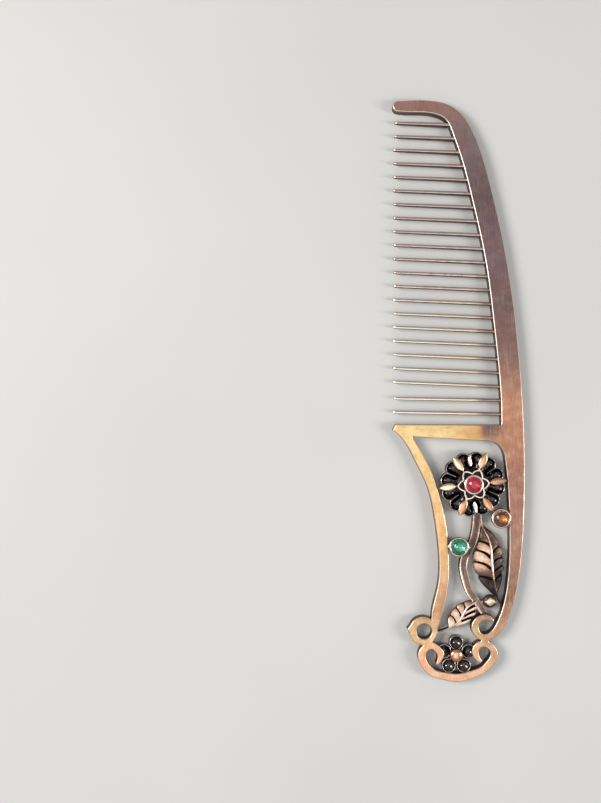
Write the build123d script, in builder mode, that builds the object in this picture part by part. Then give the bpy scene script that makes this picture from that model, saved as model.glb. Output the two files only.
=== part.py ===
from build123d import *
from math import cos, hypot, radians, sin
import os

# Decorative openwork hair comb, lying on its flat back.
# +Z is the decorated front, +Y points to the guard end, -X is the side of the tooth tips.
# The origin is the centre of the footprint, on the back plane. All sizes are millimetres.

# ---------------------------------------------------------------- driving dimensions
FRAME_T = 3.6            # thickness of the cast frame
LAYER_Z = 0.5            # the stem and leaves stand this far above the back plane
STEM_TOP = 2.4           # top of the stem and of its eyelet pad, the seat of the rosette
PAD_R = 2.6

TOOTH_COUNT = 22
TOOTH_PITCH = 4.263
FIRST_TOOTH_Y = 82.47    # height of the first tooth at the spine's wall
TOOTH_TIP_X = -20.2
TOOTH_TIP_SPREAD = 0.12  # the tips don't quite line up
TOOTH_SLOPE = 0.045      # the root end stands lower than the tip
LEVEL_SLOPE = 0.018      # the two teeth nearest the crossbar are almost level
LEVEL_TEETH = 2
TOOTH_SEAT = 2.4         # depth of each tooth's socket in the spine
TOOTH_NOSE = 1.3         # length of the pointed end
TOOTH_Z = 1.8            # the teeth lie in the middle of the frame's thickness
TOOTH_ROOT = (1.0, 2.6)  # width, depth
TOOTH_TIP = (0.8, 1.5)
TOOTH_POINT = (0.4, 0.6)

EYE = (-10.7, -74.1)     # hanging eye
EYE_R = 2.35
EYE_RIM = (-10.95, -73.95)
EYE_RIM_R = 4.4

ROSETTE = (4.2, -28.6)
GREEN = (-0.3, -47.7)
AMBER = (12.6, -38.95)
BUD = (9.8, -65.0)
TAIL = (-0.7, -81.55)

PETAL_COUNT = 12         # round petals of the rosette's base layer
PETAL_START = 21.5
PETAL_RING_R = 7.6
PETAL_R = 2.45
PETAL_TOP = 4.0
DISC_R = 5.0
DISC_TOP = 3.1
DISH_R = 2.8             # the dishes are cut by spheres that reach just below the disc
DISH_SINK = 0.2

STAR_COUNT = 6           # pointed petals of the rosette's second layer
STAR_START = 6.5
STAR_R = 10.5
STAR_FOOT_R = 4.2
STAR_HALF_WIDTH = 1.15
STAR_TOP = 4.7
HUB_R = 4.8
HUB_TOP = 4.2
TAB_R = 11.05            # the two level pointed petals reach the frame with small tabs
TAB_SIZE = (1.6, 0.8)
TAB_DROP = 0.8           # the tabs hang this far below the petals
TAB_H = 1.1

COLLAR_RING_R = 3.3      # openwork collar around the red stone's cup
COLLAR_R = 1.45
COLLAR_HOLE_R = 1.0
COLLAR_TOP = 5.4
CUP_FLOOR = 0.6

STONE_R = 2.4            # all three stones are the same size
PAVILION_H = 0.9         # girdle above the cup's floor
GIRDLE_H = 0.15
CROWN_H = 1.05
CULET_R = 1.1
CULET_GAP = 0.05         # between a stone and the rivet head below it
TABLE_R = 1.4
POCKET_R = 2.45
BEZEL_R = 3.0
BEZEL_H = 1.2
RED_SEAT = HUB_TOP + CUP_FLOOR
GREEN_SEAT = 4.3
AMBER_SEAT = 4.6
CUP_FOOT = 1.4
CUP_FOOT_R = 1.9
CUP_SHOULDER = (0.25, 0.3)   # the cup's wall turns upright this far in and up
EAR_HALF_WIDTH = 1.0
EAR_LOW = 0.5            # foot and height of the ears, above the cup's floor
EAR_H = 0.6
BED_HOLE_R = 0.5         # hole through the cement of the two cups without a rivet

RIVET_R = 0.6
RIVET_HEAD_R = 1.1
RIVET_HEAD_H = 0.3

TAIL_PETAL_COUNT = 5
TAIL_RING_R = 3.95
TAIL_PETAL_R = 2.2
TAIL_LOW = 0.8
TAIL_TOP = 3.0
TAIL_SEAT = 2.0
TAIL_DISH_R = 2.1        # the dishes are cut by spheres centred above the petals
TAIL_DISH_RISE = 1.0
KNOB_R = 2.2
KNOB_PROFILE = [(KNOB_R, 3.1), (1.6, 3.8), (0.8, 4.1), (0, 4.15)]

# ---------------------------------------------------------------- frame outlines
SPINE_OUTER = [
    (-18.3, 89.55), (-13.3, 89.85), (-7.4, 89.55), (-2.8, 88.3), (0.9, 85.5), (3.7, 81.4), (9.3, 65.4),
    (14.0, 44.8), (17.35, 23.5), (19.6, -1.1), (20.4, -25.8), (20.0, -42.1),
    (18.3, -59.4), (14.3, -72.3), (12.0, -75.4), (9.7, -76.6),
]
GUARD_END = (-20.4, 87.9)
SPINE_INNER = [
    (-19.5, 86.5), (-12.45, 86.05), (-6.9, 85.35), (-3.8, 83.5), (-2.2, 80.3), (0.1, 73.85), (4.4, 57.85),
    (8.3, 39.7), (10.9, 19.6), (12.9, -1.2), (13.1, -10.3),
]
CROSSBAR_CORNER = (-19.4, -10.15)
RAIL_INNER = [
    (-14.2, -14.05), (-7.0, -14.45), (0.2, -14.85), (6.8, -15.2), (11.3, -15.9), (13.5, -18.2),
    (14.4, -22.0), (15.1, -28.7), (15.6, -42.5),
    (15.4, -54.6), (14.1, -64.3), (11.65, -71.5), (9.3, -74.5), (7.6, -75.0),
]
LEFT_INNER = [
    (-14.2, -14.05), (-12.4, -17.2), (-8.7, -24.2), (-6.0, -32.05), (-4.0, -40.3), (-3.05, -50.0),
    (-3.1, -58.4), (-4.65, -67.1), (-6.5, -73.4), (-7.8, -77.2),
]
LEFT_OUTER = [
    (-10.6, -78.2), (-8.3, -74.2), (-8.45, -70.3), (-6.6, -60.8), (-5.95, -53.7),
    (-6.55, -45.4), (-7.8, -36.8), (-10.05, -28.4), (-13.1, -22.2), (-17.75, -14.2), (-20.4, -12.0),
]

# centre line and width of the base bow with its two scroll hooks
BOW_LINE = [
    (-6.6, -84.0), (-5.8, -82.5), (-5.6, -81.0), (-6.75, -79.4), (-8.3, -78.5),
    (-10.25, -79.25), (-11.35, -81.3), (-11.15, -83.2), (-9.9, -85.2), (-8.1, -86.8),
    (-5.2, -87.75), (0.0, -88.4), (5.2, -87.0), (7.4, -86.0), (9.3, -84.3), (10.6, -82.5),
    (10.9, -80.8), (10.1, -79.1), (8.6, -78.0), (6.9, -77.95), (5.6, -78.9), (5.1, -80.3),
    (5.5, -81.9), (6.6, -83.2),
]
BOW_WIDTH = [
    1.0, 1.7, 2.3, 2.1, 2.3, 2.3, 2.5, 2.5, 2.5, 2.4, 2.4, 2.6, 2.4, 2.3, 2.4, 2.4,
    2.3, 2.1, 2.1, 2.0, 2.1, 2.2, 1.8, 1.2,
]
HOOK_CENTRE = (8.13, -72.85)
HOOK_R = 3.1
HOOK_ANGLES = [-75, -110, -145, -180, -215, -250, -285, -315]
HOOK_WIDTH = [1.9, 2.0, 2.2, 2.3, 2.1, 1.9, 1.7, 1.1]
HOOK_NECK = [(8.3, -76.1), (8.0, -77.4)]
HOOK_NECK_WIDTH = 2.5
EYE_NIB = [(-14.9, -72.2), (-15.9, -73.4), (-15.1, -74.9), (-14.0, -73.6)]

# ---------------------------------------------------------------- ornament outlines
STEM_LINE = [
    ROSETTE, (5.7, -35.5), (5.8, -40.5), (4.75, -46.0), (2.7, -49.9), (1.7, -53.0), (1.75, -56.0),
    (3.3, -61.5), (5.1, -64.3), (6.85, -66.8), (8.2, -69.2),
]
STEM_WIDTH = [2.6, 2.7, 2.9, 2.75, 2.6, 2.6, 2.6, 2.5, 2.3, 2.2, 2.0]

LEAF_LEFT = [(7.2, -41.6), (6.4, -46.3), (4.75, -51.2), (5.1, -55.0), (7.2, -59.3), (11.2, -63.4)]
LEAF_RIGHT = [(12.0, -63.3), (13.6, -58.4), (14.2, -53.9), (13.7, -49.4), (11.3, -44.6), (8.0, -41.6)]
LEAF_RIB = [
    (7.0, -38.2), (7.3, -41.6), (9.0, -44.9), (10.1, -48.5), (10.5, -54.15), (11.25, -59.5),
    (12.6, -64.6), (14.4, -67.2),
]
LEAF_RIB_WIDTH = [0.8, 0.8, 0.8, 0.95, 1.1, 0.9, 0.7, 0.6]
LEAF_VEINS = [
    [(10.1, -47.9), (8.5, -46.9), (5.4, -46.0)],
    [(10.1, -51.5), (8.0, -49.9), (4.3, -48.7)],
    [(10.2, -54.9), (7.9, -53.4), (4.0, -52.5)],
    [(10.4, -58.2), (8.4, -57.5), (5.0, -57.1)],
    [(10.8, -49.9), (11.8, -48.6), (13.9, -47.0)],
    [(10.9, -52.8), (12.3, -51.8), (14.7, -50.8)],
    [(11.0, -56.0), (12.6, -54.6), (14.7, -53.1)],
    [(11.3, -58.6), (12.5, -57.3), (14.5, -56.0)],
]
SMALL_UPPER = [(-3.0, -73.2), (-3.1, -70.9), (-1.9, -68.4), (0.2, -66.2), (2.7, -65.1), (5.2, -64.7)]
SMALL_LOWER = [(5.9, -67.2), (5.0, -69.5), (3.2, -71.3), (0.0, -72.7), (-3.0, -73.2)]
SMALL_RIB = [
    (5.6, -65.1), (4.5, -65.7), (2.9, -66.8), (2.1, -68.0), (1.3, -69.6), (0.0, -71.4),
    (-2.9, -73.3), (-5.2, -74.1), (-7.4, -74.4),
]
SMALL_RIB_WIDTH = [0.8, 0.8, 0.8, 0.8, 0.8, 0.7, 0.65, 0.6, 0.6]
SMALL_VEINS = [
    [(-3.0, -69.0), (-1.5, -70.1), (-0.6, -71.7)],
    [(-1.1, -66.3), (0.1, -68.0), (0.9, -69.6)],
    [(1.5, -64.9), (1.9, -66.3), (2.1, -67.6)],
    [(2.7, -67.7), (3.9, -66.9), (5.7, -66.0)],
    [(2.2, -69.5), (3.7, -68.6), (6.0, -67.8)],
    [(1.5, -71.0), (3.2, -70.3), (5.0, -69.9)],
]
VEIN_WIDTH = [0.4, 0.55, 0.6]
LEAF_LOW = 1.0
LEAF_TOP = 2.5
RIB_TOP = 2.9
VEIN_LOW = 1.6           # the grooves between the veins stop above the leaf's back
BUD_STALK = [(6.6, -65.5), (7.7, -65.3), (8.9, -65.0)]
GREEN_BAR = [(-4.2, -47.9), (-0.3, -47.7), (3.8, -48.1)]
AMBER_BAR = [(12.6, -38.95), (17.0, -38.7)]
GREEN_BAR_WIDTH = 1.3
AMBER_BAR_WIDTH = 1.4
GREEN_EAR_R = 3.5
AMBER_EAR_R = 3.1
AMBER_BAR_RISE = 0.4     # the amber cup's bar stands higher than the stem
BUD_PROFILE = [(0, 0.8), (1.5, 0.8), (2.1, 1.5), (2.1, 2.2), (1.6, 3.0), (0.9, 3.4), (0, 3.4)]
BUD_STALK_WIDTH = 0.9
BUD_STALK_H = 0.9

# ---------------------------------------------------------------- helpers
def width_sides(line, widths):
    """Points on both sides of a centre line, each half a width from it."""
    left = []
    right = []
    last = len(line) - 1
    for i, (x, y) in enumerate(line):
        before = line[max(i - 1, 0)]
        after = line[min(i + 1, last)]
        dx = after[0] - before[0]
        dy = after[1] - before[1]
        step = widths[i] / 2 / hypot(dx, dy)
        left.append((x - dy * step, y + dx * step))
        right.append((x + dy * step, y - dx * step))
    return left, right


def strap(line, widths):
    """Flat band of changing width along a centre line, with round ends."""
    left, right = width_sides(line, widths)
    first = Vector(line[0]) - (Vector(line[1]) - Vector(line[0])).normalized() * (widths[0] / 2)
    final = Vector(line[-1]) + (Vector(line[-1]) - Vector(line[-2])).normalized() * (widths[-1] / 2)
    with BuildSketch() as band:
        with BuildLine():
            Spline(*left)
            ThreePointArc(left[-1], final, right[-1])
            Spline(*right[::-1])
            ThreePointArc(right[0], first, left[0])
        make_face()
    return band.sketch


def turned(centre, profile):
    """Round piece turned from a profile of (radius, height) points."""
    plane = Plane(origin=(*centre, 0), x_dir=(1, 0, 0), z_dir=(0, -1, 0))
    with BuildPart() as piece:
        with BuildSketch(plane):
            with BuildLine():
                Polyline(*profile, close=True)
            make_face()
        revolve(axis=Axis((*centre, 0), (0, 0, 1)))
    return piece.part


def pointed_leaf(inner, outer, half_width):
    """Two arcs meeting in points, along X."""
    middle = (inner + outer) / 2
    with BuildSketch() as lens:
        with BuildLine():
            ThreePointArc((inner, 0), (middle, half_width), (outer, 0))
            ThreePointArc((outer, 0), (middle, -half_width), (inner, 0))
        make_face()
    return lens.sketch


def stone(centre, seat):
    """Round stone with a flat culet, a thin girdle and a high crown."""
    culet = seat + RIVET_HEAD_H + CULET_GAP
    girdle = seat + PAVILION_H
    table = girdle + GIRDLE_H + CROWN_H
    return turned(centre, [
        (0, culet), (CULET_R, culet), (STONE_R, girdle), (STONE_R, girdle + GIRDLE_H),
        (TABLE_R, table), (0, table),
    ])


def glue_bed(centre, seat, hole_r):
    """Cement between a stone's pavilion and the floor of its cup."""
    head = seat + RIVET_HEAD_H
    culet = head + CULET_GAP
    girdle = seat + PAVILION_H
    return turned(centre, [
        (hole_r, seat), (POCKET_R, seat), (POCKET_R, girdle), (STONE_R, girdle),
        (CULET_R, culet), (0, culet), (0, head), (hole_r, head),
    ])


def stone_cup(centre, seat, bar, bar_high, ear_reach):
    """Tapered cup on a cross bar, with a bezel and two small pointed ears at its rim."""
    centre_plane = Plane(origin=(*centre, 0))
    body = turned(centre, [
        (0, CUP_FOOT), (CUP_FOOT_R, CUP_FOOT), (BEZEL_R - CUP_SHOULDER[0], seat),
        (BEZEL_R, seat + CUP_SHOULDER[1]),
        (BEZEL_R, seat + BEZEL_H), (0, seat + BEZEL_H),
    ])
    ears = pointed_leaf(-ear_reach, ear_reach, EAR_HALF_WIDTH)
    with BuildPart() as cup:
        add(body)
        with BuildSketch(centre_plane.offset(seat + EAR_LOW)):
            add(ears)
        extrude(amount=EAR_H)
        with BuildSketch(Plane.XY.offset(CUP_FOOT)):
            add(bar)
        extrude(amount=bar_high - CUP_FOOT)
        with BuildSketch(centre_plane.offset(seat)):
            Circle(POCKET_R)
        extrude(amount=BEZEL_H + 1, mode=Mode.SUBTRACT)
    return cup.part


def spine_x(y):
    """Inner wall of the spine at a height, between its outline points."""
    for (x_high, y_high), (x_low, y_low) in zip(SPINE_INNER, SPINE_INNER[1:]):
        if y_low <= y <= y_high:
            return x_high + (x_low - x_high) * (y_high - y) / (y_high - y_low)
    return SPINE_INNER[-1][0]


def save(piece, node):
    """Label the piece with its node name and write it."""
    piece.label = node
    export_step(piece, f"parts/{node}.step")


# ---------------------------------------------------------------- teeth
def make_tooth(index):
    """One tapered tooth, from its socket in the spine to its blunt point."""
    wall_y = FIRST_TOOTH_Y - index * TOOTH_PITCH
    wall_x = spine_x(wall_y)
    root_x = wall_x + TOOTH_SEAT
    tip_x = TOOTH_TIP_X + TOOTH_TIP_SPREAD * sin(2.3 * index) + 0.5 / (1 + index)
    slope = TOOTH_SLOPE if index < TOOTH_COUNT - LEVEL_TEETH else LEVEL_SLOPE
    stations = [(root_x, TOOTH_ROOT), (tip_x + TOOTH_NOSE, TOOTH_TIP), (tip_x, TOOTH_POINT)]
    with BuildPart() as tooth:
        for x, (width, depth) in stations:
            y = wall_y - (x - wall_x) * slope
            with BuildSketch(Plane(origin=(x, y, TOOTH_Z), x_dir=(0, 1, 0), z_dir=(1, 0, 0))):
                RectangleRounded(width, depth, 0.45 * width)
        loft(ruled=True)
    return tooth.part


teeth = [make_tooth(index) for index in range(TOOTH_COUNT)]

# ---------------------------------------------------------------- comb_frame
hook_line = [
    (HOOK_CENTRE[0] + HOOK_R * cos(radians(a)), HOOK_CENTRE[1] + HOOK_R * sin(radians(a)))
    for a in HOOK_ANGLES
]
hook = strap(hook_line, HOOK_WIDTH)
bow = strap(BOW_LINE, BOW_WIDTH)
hook_neck = strap(HOOK_NECK, [HOOK_NECK_WIDTH, HOOK_NECK_WIDTH])

with BuildPart() as comb_frame:
    with BuildSketch():
        with BuildLine():
            Spline(*SPINE_OUTER)
            Line(SPINE_OUTER[-1], RAIL_INNER[-1])
            Spline(*RAIL_INNER[::-1])
            Spline(*LEFT_INNER)
            Line(LEFT_INNER[-1], LEFT_OUTER[0])
            Spline(*LEFT_OUTER)
            Line(LEFT_OUTER[-1], CROSSBAR_CORNER)
            Line(CROSSBAR_CORNER, SPINE_INNER[-1])
            Spline(*SPINE_INNER[::-1])
            ThreePointArc(SPINE_INNER[0], GUARD_END, SPINE_OUTER[0])
        make_face()
        add(hook)
        add(bow)
        add(hook_neck)
        with Locations(EYE_RIM):
            Circle(EYE_RIM_R)
        with BuildLine():
            Polyline(*EYE_NIB, close=True)
        make_face()
        with Locations(EYE):
            Circle(EYE_R, mode=Mode.SUBTRACT)
    extrude(amount=FRAME_T)
    for tooth in teeth:
        add(tooth, mode=Mode.SUBTRACT)

# ---------------------------------------------------------------- stem
stem_line = strap(STEM_LINE, STEM_WIDTH)
with BuildPart() as stem:
    with BuildSketch(Plane.XY.offset(LAYER_Z)):
        add(stem_line)
        with Locations(ROSETTE):
            Circle(PAD_R)
            Circle(RIVET_R, mode=Mode.SUBTRACT)
    extrude(amount=STEM_TOP - LAYER_Z)
    add(comb_frame.part, mode=Mode.SUBTRACT)

# ---------------------------------------------------------------- rosette
rosette_plane = Plane(origin=(*ROSETTE, 0))

with BuildPart(rosette_plane) as rosette_base:
    with BuildSketch(rosette_plane.offset(STEM_TOP)):
        Circle(PETAL_RING_R - 1)
        with PolarLocations(PETAL_RING_R, PETAL_COUNT, start_angle=PETAL_START):
            Circle(PETAL_R)
        Circle(RIVET_R, mode=Mode.SUBTRACT)
    extrude(amount=PETAL_TOP - STEM_TOP)
    with BuildSketch(rosette_plane.offset(DISC_TOP)):
        Circle(DISC_R)
    extrude(amount=PETAL_TOP, mode=Mode.SUBTRACT)
    with Locations((0, 0, DISC_TOP + DISH_R - DISH_SINK)):
        with PolarLocations(PETAL_RING_R, PETAL_COUNT, start_angle=PETAL_START):
            Sphere(DISH_R, mode=Mode.SUBTRACT)

star_petal = pointed_leaf(STAR_FOOT_R, STAR_R, STAR_HALF_WIDTH)
with BuildPart() as rosette_star:
    with BuildSketch(rosette_plane.offset(DISC_TOP)):
        Circle(HUB_R)
    extrude(amount=HUB_TOP - DISC_TOP)
    with BuildSketch(rosette_plane.offset(PETAL_TOP)):
        with PolarLocations(0, STAR_COUNT, start_angle=STAR_START):
            add(star_petal)
    extrude(amount=STAR_TOP - PETAL_TOP)
    with BuildSketch(rosette_plane.offset(PETAL_TOP - TAB_DROP)):
        with PolarLocations(TAB_R - TAB_SIZE[0] / 2, 2, start_angle=STAR_START):
            Rectangle(*TAB_SIZE)
    extrude(amount=TAB_H)
    with BuildSketch(rosette_plane.offset(HUB_TOP)):
        Circle(HUB_R)
    extrude(amount=STAR_TOP, mode=Mode.SUBTRACT)
    with BuildSketch(rosette_plane):
        Circle(RIVET_R)
    extrude(amount=STAR_TOP, mode=Mode.SUBTRACT)
    add(rosette_base.part, mode=Mode.SUBTRACT)
    add(comb_frame.part, mode=Mode.SUBTRACT)

with BuildPart() as rosette_cup:
    with BuildSketch(rosette_plane.offset(HUB_TOP)):
        Circle(COLLAR_RING_R)
        with PolarLocations(COLLAR_RING_R, STAR_COUNT, start_angle=STAR_START):
            Circle(COLLAR_R)
    extrude(amount=COLLAR_TOP - HUB_TOP)
    with BuildSketch(rosette_plane.offset(RED_SEAT)):
        with PolarLocations(COLLAR_RING_R, STAR_COUNT, start_angle=STAR_START):
            Circle(COLLAR_HOLE_R)
    extrude(amount=COLLAR_TOP, mode=Mode.SUBTRACT)
    with BuildSketch(rosette_plane.offset(RED_SEAT)):
        Circle(BEZEL_R)
    extrude(amount=BEZEL_H)
    with BuildSketch(rosette_plane.offset(RED_SEAT)):
        Circle(POCKET_R)
    extrude(amount=BEZEL_H, mode=Mode.SUBTRACT)
    with BuildSketch(rosette_plane.offset(HUB_TOP)):
        Circle(RIVET_R)
    extrude(amount=CUP_FLOOR, mode=Mode.SUBTRACT)

rosette_stone = stone(ROSETTE, RED_SEAT)
rosette_glue_bed = glue_bed(ROSETTE, RED_SEAT, RIVET_HEAD_R)
rosette_rivet = turned(ROSETTE, [
    (0, LAYER_Z - RIVET_HEAD_H), (RIVET_HEAD_R, LAYER_Z - RIVET_HEAD_H), (RIVET_HEAD_R, LAYER_Z),
    (RIVET_R, LAYER_Z), (RIVET_R, RED_SEAT), (RIVET_HEAD_R, RED_SEAT),
    (RIVET_HEAD_R, RED_SEAT + RIVET_HEAD_H), (0, RED_SEAT + RIVET_HEAD_H),
])

# ---------------------------------------------------------------- green and amber stones in their cups
green_bar = strap(GREEN_BAR, [GREEN_BAR_WIDTH] * len(GREEN_BAR))
with BuildPart() as green_cup:
    add(stone_cup(GREEN, GREEN_SEAT, green_bar, STEM_TOP, GREEN_EAR_R))
    add(comb_frame.part, mode=Mode.SUBTRACT)
    add(stem.part, mode=Mode.SUBTRACT)

amber_bar = strap(AMBER_BAR, [AMBER_BAR_WIDTH] * len(AMBER_BAR))
with BuildPart() as amber_cup:
    add(stone_cup(AMBER, AMBER_SEAT, amber_bar, STEM_TOP + AMBER_BAR_RISE, AMBER_EAR_R))
    add(comb_frame.part, mode=Mode.SUBTRACT)

green_stone = stone(GREEN, GREEN_SEAT)
green_glue_bed = glue_bed(GREEN, GREEN_SEAT, BED_HOLE_R)
amber_stone = stone(AMBER, AMBER_SEAT)
amber_glue_bed = glue_bed(AMBER, AMBER_SEAT, BED_HOLE_R)


# ---------------------------------------------------------------- leaves and bud
def grooved_leaf(outline, rib, veins):
    """Leaf blade with a raised midrib and slanting grooves cut from its front."""
    grooves = [strap(vein, VEIN_WIDTH) for vein in veins]
    with BuildPart() as leaf:
        with BuildSketch(Plane.XY.offset(LEAF_LOW)):
            add(outline)
        extrude(amount=LEAF_TOP - LEAF_LOW)
        with BuildSketch(Plane.XY.offset(VEIN_LOW)):
            for groove in grooves:
                add(groove)
        extrude(amount=LEAF_TOP, mode=Mode.SUBTRACT)
        with BuildSketch(Plane.XY.offset(LEAF_LOW)):
            add(rib)
        extrude(amount=RIB_TOP - LEAF_LOW)
    return leaf.part


with BuildSketch() as large_outline:
    with BuildLine():
        Spline(*LEAF_LEFT)
        Line(LEAF_LEFT[-1], LEAF_RIGHT[0])
        Spline(*LEAF_RIGHT)
        Line(LEAF_RIGHT[-1], LEAF_LEFT[0])
    make_face()
with BuildPart() as large_leaf:
    add(grooved_leaf(large_outline.sketch, strap(LEAF_RIB, LEAF_RIB_WIDTH), LEAF_VEINS))
    for neighbour in (comb_frame, stem, rosette_base, rosette_star):
        add(neighbour.part, mode=Mode.SUBTRACT)

with BuildSketch() as small_outline:
    with BuildLine():
        Spline(*SMALL_UPPER)
        Line(SMALL_UPPER[-1], SMALL_LOWER[0])
        Spline(*SMALL_LOWER)
    make_face()
with BuildPart() as small_leaf:
    add(grooved_leaf(small_outline.sketch, strap(SMALL_RIB, SMALL_RIB_WIDTH), SMALL_VEINS))
    add(comb_frame.part, mode=Mode.SUBTRACT)
    add(stem.part, mode=Mode.SUBTRACT)

bud_stalk = strap(BUD_STALK, [BUD_STALK_WIDTH] * len(BUD_STALK))
bud_ball = turned(BUD, BUD_PROFILE)
with BuildPart() as bud:
    add(bud_ball)
    with BuildSketch(Plane.XY.offset(LEAF_LOW)):
        add(bud_stalk)
    extrude(amount=BUD_STALK_H)
    add(stem.part, mode=Mode.SUBTRACT)
    add(large_leaf.part, mode=Mode.SUBTRACT)

# ---------------------------------------------------------------- tail flower
tail_plane = Plane(origin=(*TAIL, 0))
with BuildPart(tail_plane) as tail_petals:
    with BuildSketch(tail_plane.offset(TAIL_LOW)):
        Circle(TAIL_RING_R - 1)
        with PolarLocations(TAIL_RING_R, TAIL_PETAL_COUNT, start_angle=90):
            Circle(TAIL_PETAL_R)
    extrude(amount=TAIL_TOP - TAIL_LOW)
    with BuildSketch(tail_plane.offset(TAIL_SEAT)):
        Circle(KNOB_R)
    extrude(amount=TAIL_TOP, mode=Mode.SUBTRACT)
    with Locations((0, 0, TAIL_TOP + TAIL_DISH_RISE)):
        with PolarLocations(TAIL_RING_R, TAIL_PETAL_COUNT, start_angle=90):
            Sphere(TAIL_DISH_R, mode=Mode.SUBTRACT)
    with BuildSketch(tail_plane):
        Circle(RIVET_R)
    extrude(amount=TAIL_TOP, mode=Mode.SUBTRACT)
with BuildPart() as tail_flower:
    add(tail_petals.part)
    add(comb_frame.part, mode=Mode.SUBTRACT)

tail_knob = turned(TAIL, [
    (0, TAIL_LOW - RIVET_HEAD_H), (RIVET_HEAD_R, TAIL_LOW - RIVET_HEAD_H), (RIVET_HEAD_R, TAIL_LOW),
    (RIVET_R, TAIL_LOW), (RIVET_R, TAIL_SEAT), (KNOB_R, TAIL_SEAT), *KNOB_PROFILE,
])

# ---------------------------------------------------------------- write the pieces
os.makedirs("parts", exist_ok=True)
save(comb_frame.part, "comb_frame")
for index, tooth in enumerate(teeth, start=1):
    save(tooth, f"tooth_{index:02d}")
save(stem.part, "stem")
save(large_leaf.part, "large_leaf")
save(small_leaf.part, "small_leaf")
save(bud.part, "bud")
save(rosette_base.part, "rosette_base")
save(rosette_star.part, "rosette_star")
save(rosette_cup.part, "rosette_cup")
save(rosette_glue_bed, "rosette_glue_bed")
save(rosette_stone, "rosette_stone")
save(rosette_rivet, "rosette_rivet")
save(green_cup.part, "green_cup")
save(green_glue_bed, "green_glue_bed")
save(green_stone, "green_stone")
save(amber_cup.part, "amber_cup")
save(amber_glue_bed, "amber_glue_bed")
save(amber_stone, "amber_stone")
save(tail_flower.part, "tail_flower")
save(tail_knob, "tail_knob")
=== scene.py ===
"""Looks of the antique-copper hair comb: an openwork frame with teeth, flowers, leaves and set stones.

Lengths in this script are millimetres, and solid() turns them into metres. Only the floor and the
lights are placed in metres. The comb lies on its flat back on z = 0, with its decorated front facing
up, its guard end towards +Y and its tooth tips on the -X side.
"""
from math import cos, hypot, pi, radians, sin, sqrt

import bmesh
import bpy
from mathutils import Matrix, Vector
from mathutils.geometry import tessellate_polygon


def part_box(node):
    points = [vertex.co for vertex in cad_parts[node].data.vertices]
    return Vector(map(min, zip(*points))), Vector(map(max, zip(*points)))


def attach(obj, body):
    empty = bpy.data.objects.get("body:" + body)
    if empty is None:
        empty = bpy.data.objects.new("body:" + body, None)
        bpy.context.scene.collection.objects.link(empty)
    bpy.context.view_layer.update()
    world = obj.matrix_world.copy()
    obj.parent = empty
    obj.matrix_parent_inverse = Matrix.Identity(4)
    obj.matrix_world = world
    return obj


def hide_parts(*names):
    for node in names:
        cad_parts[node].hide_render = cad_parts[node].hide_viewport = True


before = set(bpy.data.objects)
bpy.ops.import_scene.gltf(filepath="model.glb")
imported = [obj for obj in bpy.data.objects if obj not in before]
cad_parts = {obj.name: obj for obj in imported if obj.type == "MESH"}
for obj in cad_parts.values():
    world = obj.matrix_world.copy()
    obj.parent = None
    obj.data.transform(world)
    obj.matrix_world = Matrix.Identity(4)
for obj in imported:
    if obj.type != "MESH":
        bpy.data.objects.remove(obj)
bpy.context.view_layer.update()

MM = 0.001
TUCK = 0.04              # parts of one piece that overlap keep their undersides this far apart
WELD = 0.002             # points closer than this become one
CURVE_STEPS = 16         # steps between two given points of a smooth line
AXIS_R = 0.02            # radius of the cap that closes a dome or a bowl on its axis
DISC_CAP_R = 0.6         # radius of the cap that closes a disc
# painted shade on the backs of slabs, which also darkens their walls downwards
UNDERSIDE_SHADE = 0.25


# ======== numbers read from the frame
def node_box(node):
    """Lowest and highest corner of a CAD node, in millimetres."""
    low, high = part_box(node)
    return Vector(low) / MM, Vector(high) / MM


def node_centre(node):
    """Centre of a CAD node in plan."""
    low, high = node_box(node)
    return ((low.x + high.x) / 2, (low.y + high.y) / 2)


FRAME_T = node_box("comb_frame")[1].z
ROSETTE = node_centre("rosette_stone")
GREEN = node_centre("green_stone")
AMBER = node_centre("amber_stone")
TAIL = node_centre("tail_knob")


# ======== mesh helpers
def solid(name, parts, node, sharp=50.0, smooth=True):
    """Joins meshes into one piece, which rides on the comb's body in place of a CAD node.

    A mesh is a list of (x, y, z, wear) points and a list of faces. Wear 0 is blackened, 1 is rubbed bright,
    and in many places the value also carries painted shade (low) and painted highlights (high).
    """
    points = []
    faces = []
    for part_points, part_faces in parts:
        faces += [[len(points) + i for i in face] for face in part_faces]
        points += part_points
    mesh = bpy.data.meshes.new(name)
    mesh.from_pydata([(x * MM, y * MM, z * MM) for x, y, z, worn_and_lit in points], [], faces)
    mesh.update()
    layer = mesh.attributes.new("wear_and_light", "FLOAT", "POINT")
    layer.data.foreach_set("value", [point[3] for point in points])
    clean = bmesh.new()
    clean.from_mesh(mesh)
    bmesh.ops.remove_doubles(clean, verts=clean.verts, dist=WELD * MM)
    bmesh.ops.dissolve_degenerate(clean, edges=clean.edges, dist=WELD / 2 * MM)
    bmesh.ops.recalc_face_normals(clean, faces=clean.faces)
    clean.to_mesh(mesh)
    clean.free()
    if smooth:
        mesh.polygons.foreach_set("use_smooth", [True] * len(mesh.polygons))
        mesh.set_sharp_from_angle(angle=radians(sharp))
    piece = bpy.data.objects.new(name, mesh)
    bpy.context.collection.objects.link(piece)
    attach(piece, "root")
    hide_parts(node)
    return piece


def smooth_line(points, step):
    """Even points on a smooth open curve through the given points."""
    knots = [Vector(point) for point in points]
    knots = [2 * knots[0] - knots[1]] + knots + [2 * knots[-1] - knots[-2]]
    dense = []
    for p0, p1, p2, p3 in zip(knots, knots[1:], knots[2:], knots[3:]):
        for k in range(CURVE_STEPS):
            t = k / CURVE_STEPS
            a = 2 * p1 + (p2 - p0) * t + (2 * p0 - 5 * p1 + 4 * p2 - p3) * t * t
            dense.append((a + (3 * p1 - p0 - 3 * p2 + p3) * t ** 3) / 2)
    dense.append(knots[-2])
    return even_points(dense, step)


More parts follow.
